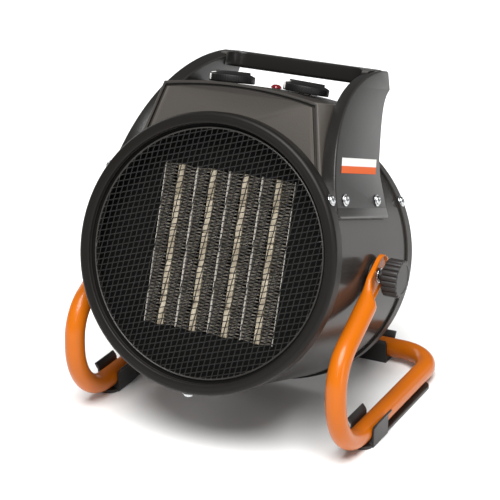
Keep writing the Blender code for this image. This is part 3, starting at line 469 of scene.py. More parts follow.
def tinted_acrylic():
    """Red acrylic of a neon indicator: partly clear, glossy, with a faint swirl from moulding."""
    clear = {"roughness": 0.08, "ior": 1.49, "transmission_weight": 0.35}
    material, tree, shader, place = start("tinted_acrylic", **clear)
    swirl = add(tree, "TexNoise", sized(place, 3.0, Distortion=1.5))
    tint = add(tree, "ValToRGB", {"Fac": swirl.outputs["Fac"]}, ((0.0, "#5d0d12"), (1.0, "#94222a")))
    surface(tree, shader, tint.outputs["Color"])
    return material


# Depths behind the fins' front where the painted shade is full and where it ends.
FOIL_FULL_SHADE_DEPTH = 0.0010
FOIL_NO_SHADE_DEPTH = 0.0002

GRAPHITE = powder_coat(
    "satin_graphite_powder_coat", "#171513", "#4a4643", 0.40, 1.6, 0.10, specular_ior_level=0.16
)
SHELL_COAT = powder_coat(
    "gloss_graphite_powder_coat", "#100f0e", "#3d3a37", 0.17, 2.2, 0.05, specular_ior_level=0.10
)
ORANGE_GLOSS = {"specular_ior_level": 0.2, "coat_weight": 0.2, "coat_roughness": 0.10}
ORANGE_COAT = powder_coat("gloss_orange_powder_coat", "#b45c06", "#bd6e1c", 0.34, 2.4, 0.04, **ORANGE_GLOSS)
BLACK_COAT = powder_coat(
    "matt_black_heat_paint", "#090908", "#161514", 0.70, 1.4, 0.12, specular_ior_level=0.08
)
RIM_WIRE = powder_coat("dipped_rim_wire", "#201f1d", "#4f4b46", 0.40, 0.9, 0.9)
# The strips' heat-dulled oxide scatters light like a matt coat, so it is drawn as one.
SHEARED_EDGE = powder_coat("sheared_aluminium_edge", "#b7b1a6", "#d9d4ca", 0.45, 1.0, 0.2)
HOUSING_PLASTIC = moulded(
    "grained_grey_nylon", "#282522", "#5a554f", 0.50, 1.1, 0.22, specular_ior_level=0.32
)
HANDLE_PLASTIC = moulded("grained_dark_nylon", "#1c1b1a", "#62605d", 0.30, 1.1, 0.22, specular_ior_level=0.20)
KNOB_PLASTIC = moulded("black_abs", "#100f0f", "#2a2827", 0.45, 1.3, 0.12, specular_ior_level=0.28)
CLAMP_PLASTIC = moulded(
    "black_glass_filled_nylon", "#1d1a19", "#4c4846", 0.42, 1.2, 0.25, specular_ior_level=0.35
)
FOOT_RUBBER = moulded("moulded_black_elastomer", "#161514", "#383534", 0.45, 1.2, 0.20)
SOCKET_PLASTIC = moulded("ivory_polycarbonate", "#d5d0c3", "#e9e5db", 0.40, 1.3, 0.10)
HOLDER_PLASTIC = moulded("brown_phenolic", "#3a332b", "#5a5147", 0.50, 1.2, 0.15)
MARK_PAINT = moulded("white_pad_print", "#d8d6d1", "#e7e5e1", 0.50, 1.0, 0.05)
ZINC = plated_steel("bright_zinc_plate", "#e8eaeb", 0.18)
PRESSED_STEEL = plated_steel("galvanised_sheet", "#c6c9ca", 0.34)
STONE = heating_stone()

# ---------- stand
TUBE_RADIUS = 0.0075
TUBE_SIDES = 36
PLATE_HALF_WIDTH = 0.0108
PLATE_HALF_THICKNESS = 0.0022
PLATE_DISH = 0.0015
PLATE_TIP = 0.0058
PLATE_END = 0.0110
TUBE_START = 0.0300
LEG_SLOPE = math.radians(27.7)
UPPER_BEND = 0.0330
LOWER_BEND = 0.0450
CORNER_BEND = 0.0300
stand_low, stand_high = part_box("stand_tube")
TUBE_Z = stand_low.z + TUBE_RADIUS
LEG_X_FLOOR = stand_high.x - TUBE_RADIUS
LEG_X_TOP = LEG_X_FLOOR - 0.0011
CROSS_Y = stand_high.y - TUBE_RADIUS
FRONT_Y = stand_low.y + TUBE_RADIUS
# The pressed end fills the space between the spacer and the washer.
PLATE_OUTER_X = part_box("clamp_washer_right")[0].x - GAP + PLATE_DISH
PLATE_X = (PLATE_OUTER_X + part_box("friction_spacer_right")[1].x + GAP) / 2


def leg_x(z):
    share = (z - TUBE_Z) / (PIVOT.z - TUBE_Z)
    return LEG_X_FLOOR + (LEG_X_TOP - LEG_X_FLOOR) * share


def tube_ring(centre, across, outward, radius=TUBE_RADIUS):
    """A round section: starts along across and turns towards outward."""
    ring = []
    for i in range(TUBE_SIDES):
        angle = math.tau * i / TUBE_SIDES
        ring.append(centre + (across * math.cos(angle) + outward * math.sin(angle)) * radius)
    return ring


def plate_ring(s, half_width, flatness, dish):
    """A section of the pressed end, s along the leg from the pivot, blended from plate to tube."""
    along = Vector((0.0, -math.cos(LEG_SLOPE), -math.sin(LEG_SLOPE)))
    across = Vector((0.0, -math.sin(LEG_SLOPE), math.cos(LEG_SLOPE)))
    middle = PIVOT + along * s
    middle.x = PLATE_X * flatness + leg_x(middle.z) * (1 - flatness)
    ring = []
    for i in range(TUBE_SIDES):
        angle = math.tau * i / TUBE_SIDES
        c, n = math.cos(angle), math.sin(angle)
        flat_u = half_width * math.copysign(abs(c) ** 0.5, c)
        flat_v = PLATE_HALF_THICKNESS * math.copysign(abs(n) ** 0.3, n)
        if n > 0:
            # The press leaves a raised lip along both sides of the outer face.
            inside = max(0.0, min(1.0, (0.86 - abs(flat_u) / max(half_width, 1e-4)) * 6.0))
            flat_v -= dish * inside
        u = flat_u * flatness + TUBE_RADIUS * c * (1 - flatness)
        v = flat_v * flatness + TUBE_RADIUS * n * (1 - flatness)
        if n > 0 and flatness < 1.0:
            # The fold runs down into the tube as a shrinking crease.
            v -= dish * max(0.0, 1.0 - abs(u) / (half_width * 0.8)) * 1.6 * flatness
        ring.append(middle + across * u + Vector((v, 0.0, 0.0)))
    return ring


def half_stand():
    """Sections of the right half of the stand, from the pressed tip to the middle of the back."""
    rings = []
    for degrees in (86, 75, 60, 45, 30, 15):
        angle = math.radians(degrees)
        reach = -PLATE_TIP - PLATE_HALF_WIDTH * math.sin(angle)
        dish = PLATE_DISH if degrees < 50 else 0.0
        rings.append(plate_ring(reach, PLATE_HALF_WIDTH * math.cos(angle), 1.0, dish))
    rings.append(plate_ring(-PLATE_TIP, PLATE_HALF_WIDTH, 1.0, PLATE_DISH))
    rings.append(plate_ring(PLATE_END * 0.5, PLATE_HALF_WIDTH, 1.0, PLATE_DISH))
    for i in range(9):
        share = i / 8
        ease = share * share * (3 - 2 * share)
        reach = PLATE_END + (TUBE_START - PLATE_END) * share
        width = PLATE_HALF_WIDTH + (TUBE_RADIUS - PLATE_HALF_WIDTH) * ease
        rings.append(plate_ring(reach, width, 1.0 - ease, PLATE_DISH))
    down = Vector((-math.cos(LEG_SLOPE), -math.sin(LEG_SLOPE)))
    side = Vector((math.sin(LEG_SLOPE), -math.cos(LEG_SLOPE)))
    hinge = Vector((PIVOT.y, PIVOT.z))
    centre_y = FRONT_Y + UPPER_BEND
    reach = ((centre_y - hinge.x) * side.x - UPPER_BEND) / side.y
    upper = Vector((centre_y, hinge.y - reach))
    lower = Vector((FRONT_Y + LOWER_BEND, TUBE_Z + LOWER_BEND))
    straight_end = (upper - side * UPPER_BEND - hinge).dot(down)
    stations = [(hinge + down * s, down) for s in (TUBE_START + 0.002, straight_end - 0.001)]
    for bend, radius, first, turn, steps in (
        (upper, UPPER_BEND, QUARTER + LEG_SLOPE, QUARTER - LEG_SLOPE, 12),
        (lower, LOWER_BEND, math.pi, QUARTER, 18),
    ):
        for i in range(steps + 1):
            angle = first + turn * i / steps
            offset = Vector((math.cos(angle), math.sin(angle)))
            stations.append((bend + offset * radius, Vector((-offset.y, offset.x))))
    for centre, direction in stations:
        across = Vector((0.0, direction.y, -direction.x))
        rings.append(tube_ring(Vector((leg_x(centre.y), *centre)), across, Vector((1.0, 0.0, 0.0))))
    corner = Vector((LEG_X_FLOOR - CORNER_BEND, CROSS_Y - CORNER_BEND, TUBE_Z))
    floor_stations = [(Vector((LEG_X_FLOOR, corner.y * 0.5, TUBE_Z)), Vector((1.0, 0.0, 0.0)))]
    for i in range(15):
        angle = QUARTER * i / 14
        outward = Vector((math.cos(angle), math.sin(angle), 0.0))
        floor_stations.append((corner + outward * CORNER_BEND, outward))
    floor_stations.append((Vector((0.0, CROSS_Y, TUBE_Z)), Vector((0.0, 1.0, 0.0))))
    for centre, outward in floor_stations:
        rings.append(tube_ring(centre, Vector((0.0, 0.0, -1.0)), outward))
    return rings


def build_stand():
    rings = half_stand()
    other_half = [[Vector((-p.x, p.y, p.z)) for p in ring] for ring in rings[-2::-1]]
    tube = loft(rings + other_half, 50.0)
    bore = rod(BORE_RADIUS, 0.26)
    tube = combined(tube, "DIFFERENCE", [(bore, Matrix.Translation(PIVOT) @ SIDEWAYS)])
    piece("bent_tube", tube, Matrix(), "stand", ORANGE_COAT, ["stand_tube"], "orange_paint")
    build_feet()


FOOT_WIDTH = 0.0170
CLIP_LENGTH = 0.0270
CLIP_HEIGHT = 0.0200
CLIP_WALL = 0.0016
CLIP_LIP = 0.0026
CLIP_SETBACK = 0.0075


def clip_outline():
    """Section of the clip that grips the tube: x across, y up from the floor."""
    inner = TUBE_RADIUS + GAP
    outer = inner + CLIP_WALL
    bend = TUBE_Z + 0.0045
    right = [(outer - 0.0012, 0.0)] + arc(0.0012, -QUARTER, 0.0, 4, (outer - 0.0012, 0.0012))[1:]
    right += [(outer, bend), (outer + CLIP_LIP * 0.55, bend + (CLIP_HEIGHT - bend) * 0.4)]
    lip = (outer + CLIP_LIP - CLIP_WALL / 2, CLIP_HEIGHT - CLIP_WALL / 2)
    right += arc(CLIP_WALL / 2, -0.3, math.pi - 0.3, 6, lip)
    right += [(inner + 0.0008, bend + 0.0022), (inner + 0.0001, bend + 0.0004)]
    cradle = arc(inner, 0.0, -math.pi, 24, (0.0, TUBE_Z))
    left = [(-x, y) for x, y in reversed(right)]
    return right + cradle + left


def foot_mesh(start_at, end_at, clip_centres):
    """A strip along y with rounded ends, and its tube clips."""
    r = FOOT_WIDTH / 2
    outline = arc(r, 0.0, math.pi, 16, (0.0, end_at - r)) + arc(r, math.pi, math.tau, 16, (0.0, start_at + r))
    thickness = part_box("stand_tube")[0].z - GAP
    strip = slab([outline], thickness, 0.0006, 3)
    clip = edged(slab([clip_outline()], CLIP_LENGTH), 0.0004, 2)
    others = [(clip, at(y=y) @ FLATWAYS) for y in clip_centres]
    lifted = strip
    lifted.transform(at(z=thickness / 2))
    return combined(lifted, "UNION", others)


def build_feet():
    low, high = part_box("foot_strip_right")
    clip = low.y + CLIP_SETBACK + CLIP_LENGTH / 2
    side_foot = foot_mesh(low.y, high.y, [clip])
    for side, sign in (("right", 1), ("left", -1)):
        place = at(x=sign * LEG_X_FLOOR)
        piece("foot_" + side, side_foot, place, "stand", FOOT_RUBBER, ["foot_strip_" + side], "foot_rubber")
    low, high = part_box("foot_strip_rear")
    reach = high.x - CLIP_LENGTH / 2
    rear_foot = foot_mesh(low.x, high.x, [-reach, reach])
    place = at(y=CROSS_Y) @ Matrix.Rotation(QUARTER, 4, "Z")
    piece("foot_rear", rear_foot, place, "stand", FOOT_RUBBER, ["foot_strip_rear"], "foot_rubber")


# ---------- drum
RING_DEPTH = -extent("front_ring", FACE)[0].z
OPENING = RING_RADIUS - 0.0084
REAR_FRONT, REAR_BACK = -extent("rear_ring", FACE)[1].z, -extent("rear_ring", FACE)[0].z


def build_shell():
    top, bottom = extent("drum_shell", FACE)[1].z, extent("drum_shell", FACE)[0].z
    wall = SHELL_RADIUS - 0.0010
    profile = [(SHELL_RADIUS, top), (SHELL_RADIUS, bottom), (wall, bottom), (wall, top)]
    shell = turned(profile, 180, closed=True)
    bore = (rod(BORE_RADIUS, 0.24), at(z=-PIVOT_DEPTH) @ SIDEWAYS)
    shell = combined(shell, "DIFFERENCE", [bore])
    # Lap seam along the underside, with the row of spot welds that closes the rolled sheet.
    seam_length = bottom - top + 0.024
    seam = edged(slab([rectangle(0.0120, abs(seam_length))], 0.0008), 0.0003, 2)
    weld = turned([(0.0, 0.0003)] + arc(0.0016, QUARTER, 0.0, 4, (0.0, -0.0013))[1:], 16)
    parts = [(seam, Matrix())]
    for i in range(7):
        parts.append((weld, at(y=abs(seam_length) * (i - 3) / 7, z=0.0004)))
    place = FACE @ at(y=-SHELL_RADIUS + 0.0001, z=(top + bottom) / 2) @ FLATWAYS
    drum_piece("rolled_shell", shell, SHELL_COAT, "drum_shell", "graphite_paint")
    piece("shell_seam", joined(parts), place, "drum", SHELL_COAT, slot="graphite_paint")


def build_rings():
    crown = 0.0004
    front = [(OPENING, -0.0046), (OPENING, -0.0014)]
    front += arc(0.0010, math.pi, QUARTER, 5, (OPENING + 0.0010, -0.0014))
    front += [(OPENING + 0.0030, 0.0), (RING_RADIUS - 0.0042, -crown)]
    front += arc(0.0034, QUARTER, 0.0, 9, (RING_RADIUS - 0.0034, -crown - 0.0034))
    front += [(RING_RADIUS, -RING_DEPTH + 0.0008)]
    front += arc(0.0005, 0.0, -QUARTER, 3, (RING_RADIUS - 0.0005, -RING_DEPTH + 0.0005))
    front += [(RING_RADIUS - 0.0018, -RING_DEPTH), (RING_RADIUS - 0.0018, -0.0046)]
    front += [(RING_RADIUS - 0.0034, -0.0022), (OPENING + 0.0018, -0.0018), (OPENING + 0.0014, -0.0046)]
    ring = turned(front, 200, closed=True)
    drum_piece("front_cover_ring", ring, GRAPHITE, "front_ring", "graphite_paint")
    rear = [(REAR_RING_RADIUS, -REAR_FRONT)]
    rear += arc(0.0028, 0.0, -QUARTER, 8, (REAR_RING_RADIUS - 0.0028, -REAR_BACK + 0.0028))
    rear += [(OPENING, -REAR_BACK), (OPENING, -REAR_BACK + 0.0014)]
    rear += [(REAR_RING_RADIUS - 0.0034, -REAR_BACK + 0.0014)]
    rear += [(REAR_RING_RADIUS - 0.0012, -REAR_BACK + 0.0032)]
    rear += [(REAR_RING_RADIUS - 0.0012, -REAR_FRONT)]
    ring = turned(rear, 200, closed=True)
    drum_piece("rear_cover_ring", ring, GRAPHITE, "rear_ring", "graphite_paint")


WIRE_PITCH = 0.00408
WIRE_RADIUS = 0.00038
WIRE_ANGLES = (math.radians(17.6), math.radians(82.3))


def guard_wires(radius):
    """Two families of wires that pass over and under each other, out to the rim."""
    shape = bmesh.new()
    crossing = math.sin(WIRE_ANGLES[1] - WIRE_ANGLES[0])
    step = WIRE_PITCH / crossing
    for family, angle in enumerate(WIRE_ANGLES):
        along = Vector((math.cos(angle), math.sin(angle), 0.0))
        across = Vector((-math.sin(angle), math.cos(angle), 0.0))
        slant = math.cos(WIRE_ANGLES[1] - WIRE_ANGLES[0]) / crossing * (-1 if family else 1)
        count = int(radius / WIRE_PITCH)
        for i in range(-count, count + 1):
            offset = i * WIRE_PITCH
            half = math.sqrt(max(radius * radius - offset * offset, 0.0))
            first = math.ceil((-half - offset * slant) / step)
            last = math.floor((half - offset * slant) / step)
            if last - first < 2:
                continue
            stations = [(-half, 0.0)]
            for j in range(first, last + 1):
                lift = WIRE_RADIUS * 0.8 * (1 if (i + j + family) % 2 else -1)
                stations.append((offset * slant + j * step, lift))
            stations.append((half, 0.0))
            rings = []
            for s, lift in stations:
                centre = along * s + across * offset + Vector((0.0, 0.0, lift))
                ring = []
                for k in range(5):
                    turn = math.tau * k / 5
                    spot = across * math.cos(turn) + Vector((0.0, 0.0, math.sin(turn)))
                    ring.append(shape.verts.new(centre + spot * WIRE_RADIUS))
                rings.append(ring)
            for near, far in zip(rings, rings[1:]):
                for k in range(5):
                    shape.faces.new((near[k], far[k], far[(k + 1) % 5], near[(k + 1) % 5]))
            shape.faces.new(rings[0])
            shape.faces.new(rings[-1][::-1])
    return smooth(meshed(shape), 80.0)


def build_guard():
    low, high = extent("front_guard", FACE)
    depth = (low.z + high.z) / 2
    rim = OPENING - 0.0030
    wires = guard_wires(rim)
    place = FACE @ at(z=depth)
    piece("wire_mesh", wires, place, "drum", coated_wire(rim - 0.0012), ["front_guard"], "black_wire")
    rim_wire = turned(circle(0.0006, 8, (rim, 0.0)), 160, closed=True)
    piece("mesh_rim", rim_wire, place, "drum", RIM_WIRE, slot="black_wire")
    # Pressed carrier ring: the mesh is clamped in it, and it closes the gap to the cover ring.
    carrier = [(rim - 0.0012, -0.0010), (rim - 0.0008, -0.0006), (OPENING + 0.0030, -0.0006)]
    carrier += [(OPENING + 0.0030, -0.0014), (rim - 0.0012, -0.0014)]
    piece("mesh_carrier", turned(carrier, 160, closed=True), place, "drum", BLACK_COAT, slot="black_sheet")


# Slots in each ring of the rear guard; the rings are 10 mm apart from a radius of 20 mm.
SLOT_COUNTS = (10, 16, 22, 28, 34, 40, 44)
SLOT_BRIDGE = 0.0024
SLOT_HALF_HEIGHT = 0.0028


def rear_slots():
    """Rings of punched slots with round ends, staggered from ring to ring."""
    slots = []
    for row, count in enumerate(SLOT_COUNTS):
        radius = 0.010 * (row + 2)
        bridge = SLOT_BRIDGE / radius
        for i in range(count):
            middle = math.tau * (i + 0.5 * (row % 2)) / count
            half = math.pi / count - bridge
            inner, outer = radius - SLOT_HALF_HEIGHT, radius + SLOT_HALF_HEIGHT
            slot = arc(outer, middle - half, middle + half, 3)
            slots.append(slot + arc(inner, middle + half, middle - half, 3))
    return slots


def build_rear_guard():
    low, high = extent("rear_guard", FACE)
    plate = slab([circle(outer_radius("rear_guard", FACE), 128)] + rear_slots(), high.z - low.z)
    place = FACE @ at(z=(low.z + high.z) / 2)
    piece("punched_rear_guard", plate, place, "drum", GRAPHITE, ["rear_guard"], "graphite_paint")


# ---------- heating block
FOLD_STEP = 0.00120
FOIL_THICKNESS = 0.00036
STRIP_WIDTH = 0.0004
TAB_HEIGHT = 0.0018


def folded_foil(width, height, depth):
    """Foil folded to and fro from x = 0 to its width, one thin plate from fold to fold."""
    shape = bmesh.new()
    count = int(height / FOLD_STEP)
    step = height / count
    for i in range(count):
        left, right = -height / 2 + (i + i % 2) * step, -height / 2 + (i + 1 - i % 2) * step
        corners = []
        for z in (-depth / 2, depth / 2):
            for x, y in ((0.0, left), (width, right)):
                for side in (-1, 1):
                    corners.append(shape.verts.new((x, y + side * FOIL_THICKNESS / 2, z)))
        a, b, c, d, e, f, g, h = corners
        for face in ((a, b, d, c), (e, g, h, f), (a, c, g, e), (b, f, h, d), (a, e, f, b), (c, d, h, g)):
            shape.faces.new(face)
    return meshed(shape)


def edge_strip(width, height, depth):
    """The bright strip beside a fin, with its tab that stands up out of the block."""
    body = slab([rectangle(STRIP_WIDTH, height, (width - STRIP_WIDTH / 2, 0.0))], depth)
    top = (width - STRIP_WIDTH / 2, height / 2 + TAB_HEIGHT / 2 - 0.0001)
    tab = slab([rectangle(STRIP_WIDTH, TAB_HEIGHT, top)], 0.0030)
    return joined([(body, Matrix()), (tab, at(z=depth / 2 - 0.0015))])


def build_block():
    low, high = extent("fin_pack_1a", FACE)
    width, height, depth = high.x - low.x, high.y - low.y, high.z - low.z
    foil = folded_foil(width - STRIP_WIDTH, height, depth)
    finish = rolled_aluminium(depth / 2)
    strips = {"a": edge_strip(width, height, depth)}
    strips["b"] = strips["a"].copy()
    mirrored(strips["a"])
    for number in "1234":
        rod_low, rod_high = extent("ptc_rod_" + number, FACE)
        middle = Vector(((rod_low.x + rod_high.x) / 2, 0.0, (low.z + high.z) / 2))
        rod_width = rod_high.x - rod_low.x
        for letter, sign in (("a", -1), ("b", 1)):
            place = FACE @ Matrix.Translation(middle + Vector((sign * (rod_width / 2 + GAP), 0.0, 0.0)))
            name = number + letter
            piece("edge_strip_" + name, strips[letter], place, "drum", SHEARED_EDGE, slot="fin_aluminium")
            if sign < 0:
                place = place @ Matrix.Rotation(math.pi, 4, "Z")
            piece("folded_foil_" + name, foil, place, "drum", finish, ["fin_pack_" + name], "fin_aluminium")
        # Stones end to end along the rod, each with softened corners.
        stones = []
        count = 5
        length = (rod_high.y - rod_low.y) / count
        stone = edged(slab([rectangle(rod_width, length - 0.0005)], depth - 0.001), 0.0006, 2)
        for i in range(count):
            shift = rod_low.y + length * (i + 0.5)
            stones.append((stone, at(y=shift)))
        core = slab([rectangle(rod_width - 0.0010, rod_high.y - rod_low.y - 0.002)], depth - 0.003)
        stones.append((core, Matrix()))
        place = FACE @ Matrix.Translation(middle)
        node = "ptc_rod_" + number
        piece("stone_row_" + number, joined(stones), place, "drum", STONE, [node], "ptc_ceramic")
    for node in ("block_holder_top", "block_holder_bottom"):
        dress(node, HOLDER_PLASTIC)
    dress("baffle_plate", BLACK_COAT)
    dress("thermal_cutout", PRESSED_STEEL)


# ---------- handle
ARM_LEAN = math.atan(0.25)
ARM_FOOT = Vector((0.0888, 0.0472, 0.0))
ARM_THICKNESS = 0.0103
ARM_FRONT = ((0.0140, 0.0560), (0.0200, 0.1020), (0.0580, 0.1360), (0.1220, 0.1452))
ARM_REAR = ((0.1393, 0.1315), (0.1220, 0.1240), (0.1160, 0.1080), (0.1050, 0.0800))
ARM_BACK_TOP = (0.1370, 0.1457)
ARM_NECK = (0.1040, 0.0690)
ARM_FOOT_BACK = 0.1115
ARM_FOOT_CUT = 0.0440
GRIP_FRONT = 0.1200
GRIP_BOTTOM = 0.1328
GRIP_TOP = 0.1458
GRIP_CORNER = 0.0120
GRIP_SHOULDER_X = 0.0552


def arm_outline():
    """Side view of a handle arm: depth along x, height above the drum's axis along y."""
    points = bezier(ARM_FRONT, 36) + [ARM_BACK_TOP]
    points += arc(0.0020, QUARTER, 0.0, 4, (ARM_REAR[0][0] - 0.0020, ARM_BACK_TOP[1] - 0.0022))
    points += bezier(ARM_REAR, 20) + [ARM_NECK, (ARM_FOOT_BACK, ARM_FOOT_CUT)]
    points += [(ARM_FRONT[0][0], ARM_FOOT_CUT)]
    return points[::-1]


PAD_THICKNESS = 0.0026
PAD_LOW = math.radians(23.2)
PAD_HIGH = math.radians(34.0)
PAD_CORNER = 0.0034


def foot_pad(sign):
    """The raised pad under the arm's screws: it follows the drum and has rounded corners."""
    first, last = ARM_FRONT[0][0] + 0.0006, ARM_FOOT_BACK - 0.0010
    section = arc(SHELL_RADIUS + GAP + PAD_THICKNESS, PAD_LOW, PAD_HIGH, 10)
    section += arc(SHELL_RADIUS - 0.002, PAD_HIGH, PAD_LOW, 10)
    pad = slab([section], last - first, 0.0009, 3)
    pad.transform(at(z=-(first + last) / 2))
    middle = (PAD_LOW + PAD_HIGH) / 2
    height = SHELL_RADIUS * (PAD_HIGH - PAD_LOW)
    half, reach = height / 2, (last - first) / 2
    outline = [(-reach, half), (reach, half)]
    outline += arc(PAD_CORNER, 0.0, -QUARTER, 6, (reach - PAD_CORNER, -half + PAD_CORNER))
    outline += arc(PAD_CORNER, -QUARTER, -math.pi, 6, (-reach + PAD_CORNER, -half + PAD_CORNER))
    punch = slab([outline[::-1]], 0.05)
    place = Matrix.Rotation(middle, 4, "Z") @ at(x=SHELL_RADIUS, z=-(first + last) / 2)
    pad = combined(pad, "INTERSECT", [(punch, place @ SIDEWAYS)])
    return pad if sign > 0 else mirrored(pad)


def build_handle():
    rear = ARM_REAR[0][0]
    shoulder = -GRIP_FRONT + GRIP_CORNER
    outline = [(-0.0600, -rear), (0.0600, -rear), (0.0600, shoulder), (GRIP_SHOULDER_X, shoulder)]
    outline += arc(GRIP_CORNER, 0.0, -QUARTER, 14, (GRIP_SHOULDER_X - GRIP_CORNER, shoulder))[1:]
    outline += [(-x, y) for x, y in reversed(outline[2:])]
    height = GRIP_TOP - GRIP_BOTTOM
    grip = slab([outline], height, 0.0024, 5)
    grip.transform(at(y=GRIP_BOTTOM + height / 2) @ FLATWAYS)
    side = arm_outline()
    grip = combined(grip, "INTERSECT", [(slab([side], 0.2), SIDEWAYS)])
    leaned = [(depth, (up - ARM_FOOT.y) / math.cos(ARM_LEAN)) for depth, up in side]
    arm = slab([leaned], ARM_THICKNESS, 0.0014, 4)
    others = []
    for sign in (1, -1):
        lean = at(x=sign * ARM_FOOT.x, y=ARM_FOOT.y) @ Matrix.Rotation(sign * ARM_LEAN, 4, "Z")
        others.append((arm, lean @ at(x=-sign * ARM_THICKNESS / 2) @ SIDEWAYS))
        others.append((foot_pad(sign), Matrix()))
    handle = combined(grip, "UNION", others)
    handle = combined(handle, "DIFFERENCE", [drum_space()])
    drum_piece("bail_handle", handle, HANDLE_PLASTIC, "handle", "black_plastic")
    build_label()


LABEL_LENGTH = 0.0660
LABEL_HEIGHT = 0.0108
LABEL_START = 0.0272
LABEL_LOW = 0.0236
LABEL_SHEAR = 0.0042


def build_label():
    lean = Matrix.Translation(ARM_FOOT) @ Matrix.Rotation(ARM_LEAN, 4, "Z")
    outline = [(0.0, 0.0), (LABEL_LENGTH, 0.0)]
    outline += [(LABEL_LENGTH + LABEL_SHEAR, LABEL_HEIGHT), (LABEL_SHEAR, LABEL_HEIGHT)]
    film = slab([outline], 0.0002)
    place = FACE @ lean @ at(x=GAP / 2 + 0.0001) @ SIDEWAYS
    place = place @ at(x=LABEL_START, y=LABEL_LOW)
    film_finish = printed_film(LABEL_HEIGHT * 0.47)
    piece("arm_label", film, place, "drum", film_finish, ["side_label"], "label_film")


# ---------- control box
BOX_WALL = 0.0022
BOX_LEAN = 0.11
box_low, box_high = extent("control_box", FACE)
BOX_CROWN = box_high.y
BOX_CORNER = BOX_CROWN - 0.0055
BOX_TOP_HALF = 0.0606
BOX_SLOPE = 0.25
BOX_REAR = -box_low.z
BOX_FRONT = 0.01975
BOX_BOTTOM = 0.0600


def box_section(inset, bottom):
    """Front view of the box: sloping sides under a crowned top, with small corner rounds."""
    half = BOX_TOP_HALF - inset * math.hypot(1.0, BOX_SLOPE)
    corner = BOX_CORNER - inset
    rise = BOX_CROWN - BOX_CORNER
    radius = (half * half + rise * rise) / (2 * rise)
    reach = math.asin(half / radius)
    crown = arc(radius, QUARTER - reach, QUARTER + reach, 40, (0.0, corner + rise - radius))
    foot = half + BOX_SLOPE * (corner - bottom)
    return [(-foot, bottom), (foot, bottom)] + crown


def leaned(mesh, pivot_height, above=0.0):
    """The mesh with its points above this z leaned back like the front of the box."""
    for vertex in mesh.vertices:
        if vertex.co.z > above:
            vertex.co.z -= BOX_LEAN * (vertex.co.y - pivot_height)
    return mesh


RIM_WIDTH = 0.0019
GROOVE_WIDTH = 0.0018
GROOVE_DEPTH = 0.0018


def front_groove(pivot_height):
    """The sunk line that sets the front panel off from its rounded rim."""
    outer = box_section(RIM_WIDTH, BOX_BOTTOM - 0.01)
    inner = box_section(RIM_WIDTH + GROOVE_WIDTH, BOX_BOTTOM - 0.01)
    corners = (outer[:2], outer[2:])
    ring = [corners[0][1]] + corners[1] + [corners[0][0]]
    ring += [inner[0]] + inner[2:][::-1] + [inner[1]]
    return leaned(slab([ring], GROOVE_DEPTH * 2), pivot_height, -GROOVE_DEPTH * 2)


def build_box():
    length = BOX_REAR - BOX_FRONT
    pivot_height = (BOX_CORNER + 0.0750) / 2
    middle = at(z=-(BOX_FRONT + BOX_REAR) / 2)
    outer = leaned(slab([box_section(0.0, BOX_BOTTOM)], length, 0.0012, 4), pivot_height)
    inner = leaned(slab([box_section(BOX_WALL, BOX_BOTTOM - 0.01)], length - 2 * BOX_WALL), pivot_height)
    outer.transform(middle)
    cuts = [(inner, middle), drum_space()]
    for frame_matrix in (SELECTOR, THERMOSTAT):
        cuts.append((rod(0.0048, 0.02), FACE.inverted() @ frame_matrix))
    lamp = extent("lamp_lens", FACE)
    lamp_middle = (lamp[0] + lamp[1]) / 2
    cuts.append((rod(0.0038, 0.02), Matrix.Translation(lamp_middle) @ UPWAYS))
    grommet = (extent("cord_grommet", FACE)[0] + extent("cord_grommet", FACE)[1]) / 2
    cuts.append((rod(0.0062, 0.02), Matrix.Translation(grommet)))
    cuts.append((front_groove(pivot_height), at(z=-BOX_FRONT)))
    box = combined(outer, "DIFFERENCE", cuts)
    drum_piece("control_housing", box, HOUSING_PLASTIC, "control_box", "black_plastic")


def spindle_frame(joint):
    """Frame with Z along a control's spindle and X to the heater's right."""
    z_axis = Vector(JOINTS[joint]["axis"]).normalized()
    x_axis = (Vector((1.0, 0.0, 0.0)) - z_axis * z_axis.x).normalized()
    y_axis = z_axis.cross(x_axis)
    turn = Matrix((x_axis, y_axis, z_axis)).transposed().to_4x4()
    return Matrix.Translation(Vector(JOINTS[joint]["pos_m"])) @ turn


SELECTOR = spindle_frame("selector_turn")
THERMOSTAT = spindle_frame("thermostat_turn")


POINTER_ANGLE = 222.0
KNOB_DOME = 0.0024
KNOB_ROOF = 0.0018
LENS_DOME = 0.0028


def knob_mesh(radius, height):
    """Low round knob with a fine-ribbed side and a domed top with a ridge across it."""
    skirt = []
    ribs = 60
    for i in range(ribs * 4):
        angle = math.tau * i / (ribs * 4)
        wave = 0.00018 * (0.5 + 0.5 * math.cos(ribs * angle))
        skirt.append(((radius - wave) * math.cos(angle), (radius - wave) * math.sin(angle)))
    body = slab([skirt], height - 0.0008, 0.0007, 3)
    body.transform(at(z=(height - 0.0008) / 2))
    rim = radius - 0.0009
    curve = bezier(((0.0, KNOB_DOME), (rim * 0.5, KNOB_DOME), (rim * 0.9, KNOB_DOME * 0.55), (rim, 0.0)), 20)
    dome = turned(curve + [(rim, -0.0010), (0.0, -0.0010)], 128)
    ridge = edged(slab([rectangle(radius * 1.6, 0.0030)], KNOB_DOME + 0.0012), 0.0008, 3)
    place = at(z=height - 0.0008 + KNOB_DOME / 2)
    place = place @ Matrix.Rotation(math.radians(POINTER_ANGLE), 4, "Z")
    body = combined(body, "UNION", [(dome, at(z=height - 0.0008)), (ridge, place)])
    # The bore clears the spindle's 3 mm radius and its tip, and leaves a roof under the dome.
    well = rod(BORE_RADIUS, 2 * (height - KNOB_ROOF))
    return combined(body, "DIFFERENCE", [(well, Matrix())])


